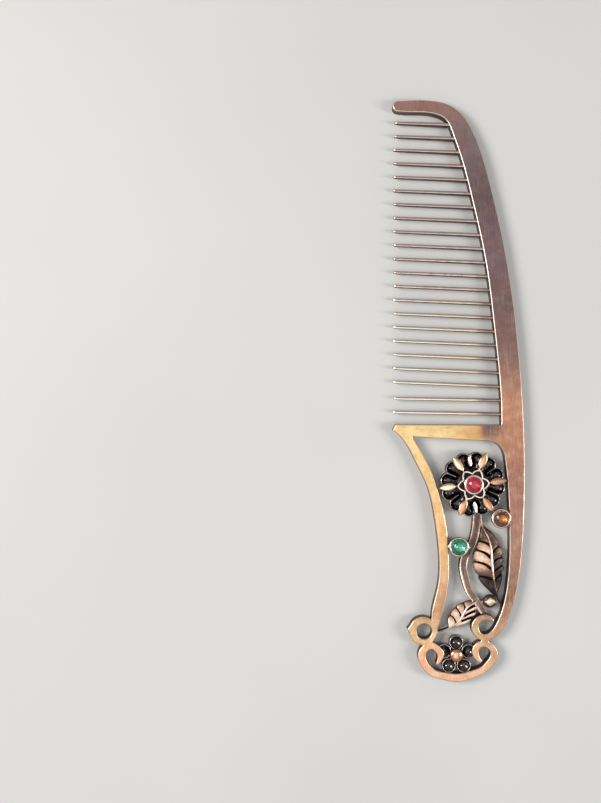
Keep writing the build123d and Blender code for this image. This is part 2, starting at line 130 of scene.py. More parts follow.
def even_points(line, step):
    """The same open polyline with evenly spaced points."""
    lengths = [0.0]
    for a, b in zip(line, line[1:]):
        lengths.append(lengths[-1] + (b - a).length)
    count = max(2, round(lengths[-1] / step) + 1)
    result = []
    span = 0
    for k in range(count):
        goal = lengths[-1] * k / (count - 1)
        while span < len(line) - 2 and lengths[span + 1] < goal:
            span += 1
        gap = lengths[span + 1] - lengths[span]
        t = (goal - lengths[span]) / gap if gap > 0 else 0.0
        result.append(line[span].lerp(line[span + 1], min(max(t, 0.0), 1.0)))
    return result


def interpolate(values, t):
    """Value or place at t, from 0 to 1, along a list of evenly spread ones."""
    place = min(max(t, 0.0), 1.0) * (len(values) - 1)
    i = min(int(place), len(values) - 2)
    return values[i] + (values[i + 1] - values[i]) * (place - i)


def smoothstep(low, high, x):
    """0 below low, 1 above high, and a soft rise between."""
    t = min(max((x - low) / (high - low), 0.0), 1.0)
    return t * t * (3 - 2 * t)


def around(centre, turn, x, y=0.0):
    """Plan point at x along and y across a direction from a centre."""
    return (centre[0] + x * cos(turn) - y * sin(turn), centre[1] + x * sin(turn) + y * cos(turn))


def mirrored(left):
    """A symmetrical section of (across, height, wear) points, from its left half."""
    return left + [(-across, height, worn_and_lit) for across, height, worn_and_lit in left[::-1] if across != 0]


def ring_walls(rings, size, start=0, closed=False):
    """Faces between rings of points that follow each other in the point list."""
    faces = []
    for i in range(rings if closed else rings - 1):
        one = start + i * size
        two = start + (i + 1) % rings * size
        for k in range(size):
            n = (k + 1) % size
            faces.append([one + k, one + n, two + n, two + k])
    return faces


def stack(rings, closed=False):
    """Mesh around a stack of equal rings of points. It closes on itself or is capped at both ends."""
    size = len(rings[0])
    points = [point for ring in rings for point in ring]
    faces = ring_walls(len(rings), size, closed=closed)
    if not closed:
        faces += [list(range(size))[::-1], list(range(len(points) - size, len(points)))]
    return points, faces


def turned_mesh(centre, profile, segments=64):
    """Round mesh from a profile of (radius, height, wear) points, with a flat cap at each end."""
    return stack([[(*around(centre, 2 * pi * k / segments, radius), height, worn_and_lit) for k in range(segments)]
                  for radius, height, worn_and_lit in profile])


def grid_slab(rows, bottom):
    """Closed slab under a grid of points: top surface, a flat back and walls between them."""
    height = len(rows)
    width = len(rows[0])
    points = [point for row in rows for point in row]
    under = len(points)
    # the back gets painted shade
    points += [(x, y, bottom, UNDERSIDE_SHADE) for x, y, z, worn_and_lit in points]
    faces = []
    for i in range(height - 1):
        for j in range(width - 1):
            a = i * width + j
            quad = [a, a + 1, a + width + 1, a + width]
            faces.append(quad)
            faces.append([under + k for k in quad][::-1])
    rim = list(range(width))
    rim += [i * width + width - 1 for i in range(1, height)]
    rim += [(height - 1) * width + j for j in range(width - 2, -1, -1)]
    rim += [i * width for i in range(height - 2, 0, -1)]
    faces += [[a, under + a, under + b, b] for a, b in zip(rim, rim[1:] + rim[:1])]
    return points, faces


def swept_mesh(line, section_at, closed=False):
    """Sweeps a section along a line. section_at(t) gives its (across, height, wear) points."""
    rings = []
    count = len(line)
    for i, place in enumerate(line):
        after = line[(i + 1) % count] if closed else line[min(i + 1, count - 1)]
        before = line[i - 1] if closed or i > 0 else line[0]
        along = (after - before).normalized()
        rings.append([(place.x - along.y * across, place.y + along.x * across, height, worn_and_lit)
                      for across, height, worn_and_lit in section_at(i / (count - 1))])
    return stack(rings, closed)


# ======== comb frame
BEVEL = 0.34             # rounding of the frame's edges
BEVEL_STEPS = 4
EDGE_STRIP = 0.06        # flat strip around the front and back, which keeps their shading flat
WALL_SHADE_DROP = 0.3                # the walls' painted shade starts this far below the bevel
LOOP_STEP = 0.5          # spacing of the outline's points
CORNER_DEG = 28          # a sharper turn is kept as a corner
SHARPEST_INSET = 0.55    # limits how far an inset reaches into a sharp corner
FRAME_WEAR = 0.5         # neither rubbed bright nor blackened: no painted highlight or shade


def face_loops(node, height):
    """Closed loops of plan points around a CAD node's flat face at a height."""
    shape = bmesh.new()
    shape.from_mesh(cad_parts[node].data)
    bmesh.ops.remove_doubles(shape, verts=shape.verts, dist=0.0001 * MM)
    flat = {face for face in shape.faces
            if face.normal.z > 0.99 and abs(face.calc_center_median().z - height * MM) < 0.01 * MM}
    links = {}
    for edge in shape.edges:
        if sum(face in flat for face in edge.link_faces) == 1:
            a, b = edge.verts
            links.setdefault(a.index, []).append(b.index)
            links.setdefault(b.index, []).append(a.index)
    spots = {v.index: Vector((v.co.x / MM, v.co.y / MM)) for v in shape.verts if v.index in links}
    shape.free()
    loops = []
    waiting = set(links)
    while waiting:
        step = min(waiting)
        loop = []
        while step is not None:
            loop.append(step)
            waiting.discard(step)
            step = next((n for n in links[step] if n in waiting), None)
        loops.append([spots[i] for i in loop])
    # the outline runs anticlockwise and the holes clockwise, so the metal is always on the left
    loops.sort(key=lambda loop: -abs(signed_area(loop)))
    return [loop if (signed_area(loop) > 0) == (k == 0) else loop[::-1]
            for k, loop in enumerate(loops)]


def signed_area(loop):
    return sum(a.x * b.y - b.x * a.y for a, b in zip(loop, loop[1:] + loop[:1])) / 2


def with_neighbours(loop):
    """The point before, the point itself and the point after, for every point of a closed loop."""
    return zip(loop[-1:] + loop[:-1], loop, loop[1:] + loop[:1])


def even_loop(loop):
    """A closed loop respaced evenly between its corners."""
    count = len(loop)
    corners = [i for i, (before, spot, after) in enumerate(with_neighbours(loop))
               if (spot - before).angle(after - spot, 0.0) > radians(CORNER_DEG)]
    if not corners:
        return even_points(loop + [loop[0]], LOOP_STEP)[:-1]
    result = []
    for a, b in zip(corners, corners[1:] + [corners[0] + count]):
        result += even_points([loop[i % count] for i in range(a, b + 1)], LOOP_STEP)[:-1]
    return result


def inset_directions(loop):
    """Vectors that move each point of a loop one millimetre into the metal."""
    result = []
    for before, spot, after in with_neighbours(loop):
        n1, n2 = [Vector((-side.y, side.x)).normalized() for side in (spot - before, after - spot)]
        result.append((n1 + n2) / max(1 + n1.dot(n2), SHARPEST_INSET))
    return result


def make_frame():
    """The frame's plate with rounded front and back edges, from the CAD outline."""
    loops = [even_loop(loop) for loop in face_loops("comb_frame", FRAME_T)]
    rings = [(BEVEL + EDGE_STRIP, FRAME_T, FRAME_WEAR)]     # inset, height and wear, down from the front
    for k in range(BEVEL_STEPS + 1):
        a = radians(90 * k / BEVEL_STEPS)
        # the bevels carry a painted highlight, partly rubbed bright, front and back; the walls below get
        # painted shade
        worn_and_lit = FRAME_WEAR + (1 - FRAME_WEAR) * sin(2 * a)
        rings.append((BEVEL * (1 - sin(a)), FRAME_T - BEVEL * (1 - cos(a)), worn_and_lit))
    rings.append((0.0, FRAME_T - BEVEL - WALL_SHADE_DROP, 0.0))
    rings += [(inset, FRAME_T - height, worn_and_lit) for inset, height, worn_and_lit in rings[::-1]]
    points = []
    faces = []
    top_rings = []
    back_rings = []
    for loop in loops:
        inward = inset_directions(loop)
        start = len(points)
        size = len(loop)
        for inset, height, worn_and_lit in rings:
            points += [(*(spot + move * inset), height, worn_and_lit) for spot, move in zip(loop, inward)]
        faces += ring_walls(len(rings), size, start)
        top_rings.append(list(range(start, start + size)))
        back_rings.append(list(range(len(points) - size, len(points))))
    for flat in (top_rings, back_rings):
        order = [i for ring in flat for i in ring]
        fill = tessellate_polygon([[Vector(points[i][:3]) for i in ring] for ring in flat])
        faces += [[order[i] for i in triangle] for triangle in fill]
    return solid("frame_plate", [(points, faces)], "comb_frame")


# ======== teeth
TOOTH_COUNT = 22
TOOTH_ROOT = (1.0, 2.6)  # width and thickness at the spine
TOOTH_TIP = (0.8, 1.5)   # the same at the point, before it is rounded
TOOTH_NOSE = 1.3         # length of the rounded point
TOOTH_CORNER = 0.36      # corner radius, as a share of the thinner side
TOOTH_SPANS, NOSE_SPANS, CORNER_STEPS = 14, 7, 4
NOSE_END, NOSE_CURVE = 0.1, 0.75
TOOTH_SHADE = 0.12       # painted shade on the sides of a tooth; the value rises to 1 on its crest, a painted highlight partly rubbed bright


def tooth_section(width, depth):
    """Rounded rectangle around a tooth, as (across, up, wear) points."""
    radius = TOOTH_CORNER * min(width, depth)
    section = []
    for quarter in range(4):
        side = 1 if quarter in (0, 3) else -1
        level = 1 if quarter in (0, 1) else -1
        for k in range(CORNER_STEPS + 1):
            a = radians(90 * (quarter + k / CORNER_STEPS))
            across = side * (width / 2 - radius) + radius * cos(a)
            up = level * (depth / 2 - radius) + radius * sin(a)
            section.append((across, up, TOOTH_SHADE + (1 - TOOTH_SHADE) * smoothstep(0.35, 0.9, sin(a))))
    return section


def make_tooth(number):
    """One tapered tooth with a blunt rounded point."""
    name = f"tooth_{number:02d}"
    low, high = node_box(name)
    middle_z = (low.z + high.z) / 2
    root_y = low.y + TOOTH_ROOT[0] / 2
    tip_y = high.y - TOOTH_TIP[0] / 2
    nose_x = low.x + TOOTH_NOSE
    stations = [(high.x - (high.x - nose_x) * k / TOOTH_SPANS, 1.0) for k in range(TOOTH_SPANS + 1)]
    for k in range(1, NOSE_SPANS + 1):
        a = radians(90 * k / NOSE_SPANS)
        stations.append((nose_x - TOOTH_NOSE * sin(a), max(cos(a), NOSE_END) ** NOSE_CURVE))
    rings = []
    for x, scale in stations:
        t = (high.x - x) / (high.x - low.x)
        width, depth = [(root + (tip - root) * t) * scale for root, tip in zip(TOOTH_ROOT, TOOTH_TIP)]
        y = root_y + (tip_y - root_y) * t
        section = tooth_section(width, depth)
        rings.append([(x, y + across, middle_z + up, worn_and_lit) for across, up, worn_and_lit in section])
    return solid(f"comb_{name}", [stack(rings)], name, sharp=60)


# ======== stem
STEM_LINE = [
    ROSETTE, (5.7, -35.5), (5.8, -40.5), (4.75, -46.0), (2.7, -49.9), (1.7, -53.0), (1.75, -56.0),
    (3.3, -61.5), (5.1, -64.3), (6.85, -66.8), (8.2, -69.2),
]
STEM_WIDTH = [2.6, 2.7, 2.9, 2.75, 2.6, 2.6, 2.6, 2.5, 2.3, 2.2, 2.0]
STEM_LOW, STEM_TOP = 0.5, 2.4
STEM_SECTION = mirrored([   # across and height as shares of half width and thickness, and wear with painted light: bright edges, painted shade down the sides
    (-0.98, 0.0, 0.1), (-1.0, 0.35, 0.1), (-1.0, 0.80, 0.25), (-0.96, 0.93, 0.7), (-0.88, 1.0, 0.95),
    (-0.78, 0.99, 0.9), (-0.68, 0.93, 0.5), (-0.40, 0.88, 0.42), (0.0, 0.86, 0.40),
])
# rubbing and painted light along the stem, from the rosette down: brighter lower down
STEM_WEAR_AND_LIGHT = [0.7, 0.9, 1.0, 0.85, 0.85, 0.95, 1.1, 1.3, 1.35, 1.3, 1.2]
PAD_R = 2.6
PAD_BACK, PAD_TOP = STEM_LOW + TUCK, STEM_TOP - 0.02


def make_stem():
    """Channelled stem, and the round pad under the rosette."""
    line = smooth_line(STEM_LINE, 0.3)

    def section(t):
        half = interpolate(STEM_WIDTH, t) / 2
        rise = STEM_TOP - STEM_LOW
        rubbed_and_lit = interpolate(STEM_WEAR_AND_LIGHT, t)
        return [(a * half, STEM_LOW + h * rise, w * rubbed_and_lit) for a, h, w in STEM_SECTION]

    pad = turned_mesh(ROSETTE, [
        (DISC_CAP_R, PAD_BACK, 0.3), (PAD_R - 0.15, PAD_BACK, 0.6), (PAD_R, STEM_LOW + 0.15, 0.6),
        (PAD_R, STEM_TOP - 0.2, 0.3), (PAD_R - 0.2, PAD_TOP, 0.4), (DISC_CAP_R, PAD_TOP, 0.2),
    ])
    return solid("stem_and_pad", [swept_mesh(line, section), pad], "stem", sharp=60)


# ======== leaves
def distance_to_line(spot, line):
    """Distance in plan from a spot to an open polyline, and the place along it."""
    best = (1e9, 0.0)
    for i, (a, b) in enumerate(zip(line, line[1:])):
        ab = b - a
        t = min(max((spot - a).dot(ab) / ab.length_squared, 0.0), 1.0)
        gap = (spot - a - ab * t).length
        if gap < best[0]:
            best = (gap, (i + t) / (len(line) - 1))
    return best


LARGE_LEAF = {
    "rib": [(7.6, -41.6), (9.0, -44.9), (10.1, -48.5), (10.5, -54.15), (11.1, -59.0), (11.6, -63.35)],
    "left": [(7.2, -41.6), (6.4, -46.3), (4.75, -51.2), (5.1, -55.0), (7.2, -59.3), (11.2, -63.4)],
    "right": [(8.0, -41.6), (11.3, -44.6), (13.7, -49.4), (14.2, -53.9), (13.6, -58.4), (12.0, -63.3)],
    "stalk": [(7.0, -38.2), (7.3, -41.6), (9.0, -44.9), (10.1, -48.5), (10.5, -54.15), (11.25, -59.5),
              (12.6, -64.6), (13.8, -66.4)],
    "stalk_width": [0.6, 0.65, 0.75, 0.85, 0.9, 0.7, 0.55, 0.5],
    # rubbing and painted light along the midrib, from the stem to the tip
    "stalk_wear_and_light": [0.9, 0.6, 0.7, 1.0, 0.95, 0.45, 0.25, 0.25],
    "veins": {
        "left": [
            [(10.1, -47.9), (8.5, -46.9), (5.4, -46.0)],
            [(10.1, -51.5), (8.0, -49.9), (4.3, -48.7)],
            [(10.2, -54.9), (7.9, -53.4), (4.0, -52.5)],
            [(10.4, -58.2), (8.4, -57.5), (5.0, -57.1)],
        ],
        "right": [
            [(10.8, -49.9), (11.8, -48.6), (13.9, -47.0)],
            [(10.9, -52.8), (12.3, -51.8), (14.7, -50.8)],
            [(11.0, -56.0), (12.6, -54.6), (14.7, -53.1)],
            [(11.3, -58.6), (12.5, -57.3), (14.5, -56.0)],
        ],
    },
    "wear_and_light": {                # painted light and shade along the blade, from the stem to the tip: the left half lit brighter than the right, both darker towards the ends
        "left": [0.15, 0.2, 0.34, 0.70, 0.84, 0.85, 0.78, 0.48, 0.16, 0.1, 0.1, 0.1],
        "right": [0.1, 0.15, 0.2, 0.30, 0.34, 0.32, 0.26, 0.18, 0.1, 0.1, 0.1, 0.1],
    },
    "groove": {"left": (0.42, 0.12), "right": (0.30, 0.14)},
    "drop": {"left": 0.45, "right": 0.45},   # the blade falls this much towards its edge
    "notch": 0.5,            # the grooves bite this far into the leaf's edge
    "mesh": (280, 48),       # rows along the rib and columns towards the edge
}
SMALL_LEAF = {
    "rib": [(4.9, -65.5), (2.9, -66.8), (2.1, -68.0), (1.3, -69.6), (0.0, -71.4), (-2.9, -73.2)],
    "left": [(5.5, -66.2), (5.7, -67.4), (5.0, -69.5), (3.2, -71.3), (0.0, -72.7), (-2.9, -73.25)],
    "right": [(5.0, -64.75), (2.7, -65.1), (0.2, -66.2), (-1.9, -68.4), (-3.1, -70.9), (-3.0, -73.15)],
    "stalk": [(5.6, -65.1), (4.5, -65.7), (2.9, -66.8), (2.1, -68.0), (1.3, -69.6), (0.0, -71.4),
              (-2.9, -73.3), (-5.2, -74.1), (-6.9, -74.35)],
    "stalk_width": [0.75, 0.75, 0.75, 0.75, 0.75, 0.65, 0.6, 0.5, 0.5],
    # rubbing and painted light along the midrib, from the stem to the tip
    "stalk_wear_and_light": [1.0, 1.0, 1.0, 1.0, 1.0, 1.0, 1.0, 0.55, 0.4],
    "veins": {
        "left": [
            [(2.5, -67.8), (3.9, -66.95), (5.7, -66.0)],
            [(2.0, -69.6), (3.7, -68.6), (6.0, -67.8)],
            [(1.2, -71.1), (3.2, -70.3), (5.0, -69.9)],
        ],
        "right": [
            [(-3.0, -69.0), (-1.5, -70.1), (-0.6, -71.7)],
            [(-1.1, -66.3), (0.1, -68.0), (0.9, -69.6)],
            [(1.5, -64.9), (1.9, -66.3), (2.1, -67.6)],
        ],
    },
    # painted light and shade along the blade, from the stem to the tip
    "wear_and_light": {
        "left": [1.3, 1.3, 1.3, 1.3, 1.0, 0.4],
        "right": [0.4, 0.65, 0.85, 0.85, 0.9, 0.95],
    },
    "groove": {"left": (0.30, 0.38), "right": (0.12, 0.18)},
    "drop": {"left": 0.1, "right": 0.45},
    "notch": 0.15,
    "mesh": (150, 42),
}
LEAF_LOW, LEAF_TOP, GROOVE_Z, RIB_TOP = 1.0, 2.5, 1.6, 2.9
GROOVE_WALL = 0.2        # the groove's wall slopes over this width
PILLOW, PILLOW_REACH = 0.05, 0.7   # the panels sink this much, this far beside their grooves
NOTCH_REACH = (0.1, 0.9)   # a notch fades between these distances from its groove
STEM_EDGE = (0.9, 1.15)  # distances from the stem's middle over which the blade dips under it
# the blade sinks this much under the stem, and gets this much painted shade there
STEM_DIP, STEM_SHADE = 0.8, 0.6
EDGE_SHADE = 0.35        # painted shade: the blade's rim, where it falls away, is this much darker
stem_curve = smooth_line(STEM_LINE, 0.4)


def leaf_surface(leaf, side):
    """Grid from the midrib to one edge, with grooves between crowned panels."""
    rib = smooth_line(leaf["rib"], 0.2)
    edge = smooth_line(leaf[side], 0.2)
    veins = [smooth_line(vein, 0.5) for vein in leaf["veins"][side]]
    groove = leaf["groove"][side]
    row_count, column_count = leaf["mesh"]
    rows = []
    for i in range(row_count + 1):
        t = i / row_count
        inner = interpolate(rib, t)
        outer = interpolate(edge, t)
        rim_gap = min(distance_to_line(outer, vein)[0] for vein in veins)
        bite = leaf["notch"] * (1 - smoothstep(*NOTCH_REACH, rim_gap))
        outer = outer + (inner - outer).normalized() * bite
        row = []
        for j in range(column_count + 1):
            s = j / column_count
            spot = inner.lerp(outer, s)
            gap, along = min(distance_to_line(spot, vein) for vein in veins)
            half = groove[0] + (groove[1] - groove[0]) * along
            z = LEAF_TOP - leaf["drop"][side] * s ** 3
            z -= PILLOW * (1 - smoothstep(half, half + PILLOW_REACH, gap))
            z += (GROOVE_Z - z) * (1 - smoothstep(half - GROOVE_WALL, half, gap))
            clean = smoothstep(half - 0.02, half + 0.16, gap)
            behind = 1 - smoothstep(*STEM_EDGE, distance_to_line(spot, stem_curve)[0])
            z -= behind * STEM_DIP
            # painted light and shade along the blade, with painted shade at its rim and under the stem; the
            # grooves stay blackened
            worn_and_lit = interpolate(leaf["wear_and_light"][side], t) * (1 - EDGE_SHADE * smoothstep(0.85, 1.0, s))
            row.append((spot.x, spot.y, max(z, LEAF_LOW + 0.1), worn_and_lit * clean * (1 - STEM_SHADE * behind)))
        rows.append(row)
    return rows


def make_leaf(name, leaf, node):
    """Leaf blade of two grooved halves, with its raised midrib and stalk."""
    def rib_section(t):
        half = interpolate(leaf["stalk_width"], t) / 2
        worn_and_lit = interpolate(leaf["stalk_wear_and_light"], t)
        high = RIB_TOP - 0.3 * t
        return mirrored([
            (-half, LEAF_LOW + TUCK, 0.1), (-half, LEAF_LOW + 0.9, 0.15),
            (-half * 0.92, high - 0.25, 0.6 * worn_and_lit), (-half * 0.6, high - 0.05, worn_and_lit), (0, high, worn_and_lit),
        ])

    parts = [grid_slab(leaf_surface(leaf, side), LEAF_LOW) for side in ("left", "right")]
    parts.append(swept_mesh(smooth_line(leaf["stalk"], 0.25), rib_section))
    return solid(name, parts, node, sharp=55)


# ======== dished flowers
PETAL_COUNT, PETAL_START = 12, 21.5
PETAL_RING_R, PETAL_R = 7.6, 2.45
BASE_INNER_R, BASE_SLOPE = 4.5, 1.2   # the petals rise out of the disc over this slope
BASE_BACK, BASE_DISC, BASE_FLOOR, BASE_RIM = 2.4, 3.1, 2.85, 4.0
BOWL_SIDE, BOWL_END = 1.45, 1.7   # the dishes slope over this much from their rims
SIDE_RIM, OUTER_RIM = 0.10, 0.26  # the rims stay level over this much
RIM_DROP, RIM_DROP_SPAN = 0.25, 0.2   # rounding of the petal's outer edge
PLAIN_CREST = (0.0, 0.6)          # half width and wear of the crest between two petals
# the crests above and below the stone are raised spindles with a painted silver highlight, and two on the
# right get painted shade
CRESTS = {2: (0.46, 0.92), 8: (0.44, 0.95), 0: (0.05, 0.35), 10: (0.05, 0.35)}
CREST_MIDDLE, CREST_REACH = 7.0, 2.1   # where the wide crests are widest, and half their length
CREST_CROWN = 0.16
RIDGE_LINE = (0.05, 0.26)         # the crest's bright line, partly rubbed and partly painted highlight, fades between these distances from its middle
RIM_LINE, RIM_LINE_FADE, RIM_WEAR = 0.18, (0.05, 0.22), 0.8
BOWL_WEAR, BASE_BACK_WEAR = 0.03, 0.15
PETAL_COLUMNS, PETAL_RINGS = 36, 30    # mesh of one petal
RING_CROWDING = 1.3      # brings the rings closer together towards the outer rim


def petal_height(to_side, to_out, r, crest):
    """Height and wear in a dished petal, from the distances to its neighbours and its outer edge."""
    half, rubbed_and_lit = crest
    swell = half * max(1 - ((r - CREST_MIDDLE) / CREST_REACH) ** 2, 0.0)
    side = max(1 - max(to_side - SIDE_RIM - swell, 0.0) / BOWL_SIDE, 0.0)
    outer = max(1 - max(to_out - OUTER_RIM, 0.0) / BOWL_END, 0.0)
    rise = 1 - (1 - side ** 2) * (1 - outer ** 2)
    z = BASE_FLOOR + (BASE_RIM - BASE_FLOOR) * rise
    z -= RIM_DROP * (1 - smoothstep(0.0, RIM_DROP_SPAN, to_out)) ** 2
    if swell > 0:
        side_rim = SIDE_RIM + swell
        crown = min(to_side / side_rim, 1.0) ** 2 * (1 - smoothstep(side_rim, side_rim + 0.5, to_side))
        z -= CREST_CROWN * crown * smoothstep(0.0, 0.2, swell)
    near = smoothstep(BASE_INNER_R, BASE_INNER_R + BASE_SLOPE, r)
    z = BASE_DISC + (z - BASE_DISC) * near
    ridge = (1 - smoothstep(RIDGE_LINE[0] + swell, RIDGE_LINE[1] + swell, to_side)) * near * rubbed_and_lit
    rim = (1 - smoothstep(*RIM_LINE_FADE, abs(to_out - RIM_LINE))) * RIM_WEAR
    return z, BOWL_WEAR + max(ridge, rim)


def make_rosette_base():
    """Base layer of the rosette: twelve dished petals with raised rims, in one closed mesh."""
    sector = pi / PETAL_COUNT
    total = PETAL_COUNT * PETAL_COLUMNS
    rings = []
    for i in range(PETAL_RINGS + 1):
        ring = []
        for k in range(total):
            angle = 2 * pi * k / total
            off = (angle + sector) % (2 * sector) - sector
            crest = CRESTS.get(int(angle / (2 * sector)), PLAIN_CREST)
            reach = PETAL_RING_R * cos(off) + sqrt(PETAL_R ** 2 - (PETAL_RING_R * sin(off)) ** 2)
            r = BASE_INNER_R + (reach - BASE_INNER_R) * (1 - (1 - i / PETAL_RINGS) ** RING_CROWDING)
            to_side = r * sin(sector - abs(off))
            from_centre = hypot(r * cos(off) - PETAL_RING_R, r * sin(off))
            to_out = PETAL_R - from_centre if r > PETAL_RING_R - 0.5 * PETAL_R else PETAL_R
            height, worn_and_lit = petal_height(to_side, max(to_out, 0.0), r, crest)
            ring.append((*around(ROSETTE, angle + radians(PETAL_START), r), height, worn_and_lit))
        rings.append(ring)
    rings += [[(x, y, BASE_BACK, BASE_BACK_WEAR) for x, y, z, worn_and_lit in ring] for ring in rings[::-1]]
    return solid("rosette_petals", [stack(rings)], "rosette_base")


TAIL_COUNT, TAIL_START = 5, 90.0
TAIL_RING_R, TAIL_PETAL_R = 3.95, 2.2
TAIL_BACK, TAIL_FLOOR, TAIL_RIM = 0.8, 1.75, 3.0
TAIL_DISC_R, TAIL_DISC_TOP = 2.6, 2.0
TAIL_BOWL_R, TAIL_BOWL_RISE = TAIL_PETAL_R - 0.32, TAIL_RIM - TAIL_FLOOR - 0.12
TAIL_DISC = [            # radius, height and wear, as in every profile below
    (DISC_CAP_R, TAIL_BACK + TUCK, 0.15), (TAIL_DISC_R, TAIL_BACK + TUCK, 0.15),
    (TAIL_DISC_R, TAIL_DISC_TOP, 0.1), (DISC_CAP_R, TAIL_DISC_TOP, 0.1),
]
TAIL_DISH = [            # outside and rim of one dish
    (AXIS_R, TAIL_BACK, 0.1), (TAIL_PETAL_R - 0.15, TAIL_BACK, 0.1), (TAIL_PETAL_R, TAIL_BACK + 0.3, 0.1),
    (TAIL_PETAL_R, TAIL_RIM - 0.25, 0.35), (TAIL_PETAL_R - 0.05, TAIL_RIM - 0.07, 0.75),
    (TAIL_PETAL_R - 0.15, TAIL_RIM, 0.85), (TAIL_PETAL_R - 0.27, TAIL_RIM - 0.03, 0.6),
]
TAIL_BOWL_SPANS, TAIL_BOWL_WEAR = 12, 0.35


def make_tail_flower():
    """Small flower at the foot of the handle: five round dishes around a disc."""
    bowl = []
    for i in range(TAIL_BOWL_SPANS + 1):
        share = 1 - i / TAIL_BOWL_SPANS
        height = TAIL_FLOOR + TAIL_BOWL_RISE * share ** 2
        bowl.append((max(TAIL_BOWL_R * share, AXIS_R), height, TAIL_BOWL_WEAR))
    parts = [turned_mesh(TAIL, TAIL_DISC)]
    for k in range(TAIL_COUNT):
        turn = radians(TAIL_START + 360 * k / TAIL_COUNT)
        parts.append(turned_mesh(around(TAIL, turn, TAIL_RING_R), TAIL_DISH + bowl, 48))
    return solid("tail_petals", parts, "tail_flower")


# ======== rosette star, collar and cups
STAR_COUNT, STAR_START = 6, 6.5   # the angle of the first petal is in degrees, as for every flower
STAR_FOOT_R, STAR_R, STAR_HALF = 5.1, 10.5, 1.18
STAR_WEAR_AND_LIGHT = [0.62, 0.74, 0.96, 1.0, 0.66, 0.64]   # rubbing and painted light of each petal, anticlockwise from the petal on the right
STAR_BACK, STAR_SIDE, STAR_TOP = 3.95, 4.4, 4.72
STAR_INNER, STAR_OUTER, STAR_FULL = 2.6, 1.9, 0.9   # how full a petal's plan is on both sides of its middle
STAR_ROWS, STAR_COLUMNS = 40, 20
HUB_R, HUB_LOW, HUB_TOP = 4.8, 3.1, 4.2
HUB_PROFILE = [
    (DISC_CAP_R, HUB_LOW, 0.0), (HUB_R, HUB_LOW, 0.0), (HUB_R, HUB_TOP - 0.15, 0.0),
    (HUB_R - 0.15, HUB_TOP, 0.0), (DISC_CAP_R, HUB_TOP, 0.0),
]
ARM_HALF = 0.35
ARM_SECTION = mirrored([
    (-ARM_HALF, STAR_BACK - 0.3, 0.1), (-ARM_HALF, STAR_BACK + 0.3, 0.3), (0, STAR_BACK + 0.5, 0.6),
])


def star_petal(turn, rubbed_and_lit):
    """One pointed petal with a nearly flat polished top."""
    rows = []
    for i in range(STAR_ROWS + 1):
        s = -1 + 2 * i / STAR_ROWS
        full = 1 - abs(s) ** (STAR_INNER if s < 0 else STAR_OUTER)
        half = STAR_HALF * max(full, 0.0) ** STAR_FULL + 0.03
        r = (STAR_FOOT_R + STAR_R) / 2 + s * (STAR_R - STAR_FOOT_R) / 2
        row = []
        for j in range(STAR_COLUMNS + 1):
            t = -1 + 2 * j / STAR_COLUMNS
            crown = (1 - abs(t) ** 7) * (1 - 0.25 * s ** 2 - 0.3 * abs(t) ** 2)
            worn_and_lit = rubbed_and_lit * (0.3 + 0.7 * smoothstep(1.0, 0.9, abs(t)))
            height = STAR_SIDE + (STAR_TOP - STAR_SIDE) * crown
            row.append((*around(ROSETTE, turn, r, half * t), height, worn_and_lit))
        rows.append(row)
    return grid_slab(rows, STAR_BACK)


def make_star():
    """Second layer of the rosette: hub, six narrow necks and six pointed petals."""
    parts = []
    for k, rubbed_and_lit in enumerate(STAR_WEAR_AND_LIGHT):
        turn = radians(STAR_START + 360 * k / STAR_COUNT)
        neck = [Vector(around(ROSETTE, turn, r)) for r in (HUB_R - 0.5, STAR_FOOT_R + 0.8)]
        parts += [star_petal(turn, rubbed_and_lit), swept_mesh(neck, lambda t: ARM_SECTION)]
    parts.append(turned_mesh(ROSETTE, HUB_PROFILE))
    return solid("rosette_star_petals", parts, "rosette_star")


COLLAR_VALLEY_R, COLLAR_TIP_R = 3.3, 4.75
COLLAR_LOW, COLLAR_FLOOR, COLLAR_TOP = 4.2, 4.65, 5.35
COLLAR_HALF = 0.26
COLLAR_STEPS = 8         # steps along one side of a collar petal
COLLAR_BULGE = (1.13, 0.28)   # how far a side bows outwards and sideways
COLLAR_SECTION = mirrored([
    (-COLLAR_HALF, COLLAR_LOW, 0.2), (-COLLAR_HALF, COLLAR_TOP - 0.2, 0.7),
    (-COLLAR_HALF * 0.75, COLLAR_TOP - 0.04, 1.0), (0, COLLAR_TOP, 1.0),
])
BEZEL_R, POCKET_R = 3.05, 2.45
BEZEL_H = 1.2
FOOT_WEAR, COLLAR_FLOOR_WEAR = 0.25, 0.02


def collar_outline():
    """Six pointed petals around the cup, as one closed line."""
    line = []
    sector = pi / STAR_COUNT
    for k in range(STAR_COUNT):
        middle = radians(STAR_START) + 2 * sector * k
        tip = Vector(around((0, 0), middle, COLLAR_TIP_R))
        valleys = [Vector(around((0, 0), middle + way * sector, COLLAR_VALLEY_R)) for way in (-1, 1)]
        for start, end, way in ((valleys[0], tip, -1), (tip, valleys[1], 1)):
            sideways = Vector((-sin(middle), cos(middle))) * COLLAR_BULGE[1] * way
            bulge = (start + end) / 2 * COLLAR_BULGE[0] + sideways
            for i in range(COLLAR_STEPS):
                t = i / COLLAR_STEPS
                line.append(start * (1 - t) ** 2 + bulge * 2 * t * (1 - t) + end * t * t)
    return [Vector(ROSETTE) + p for p in line]


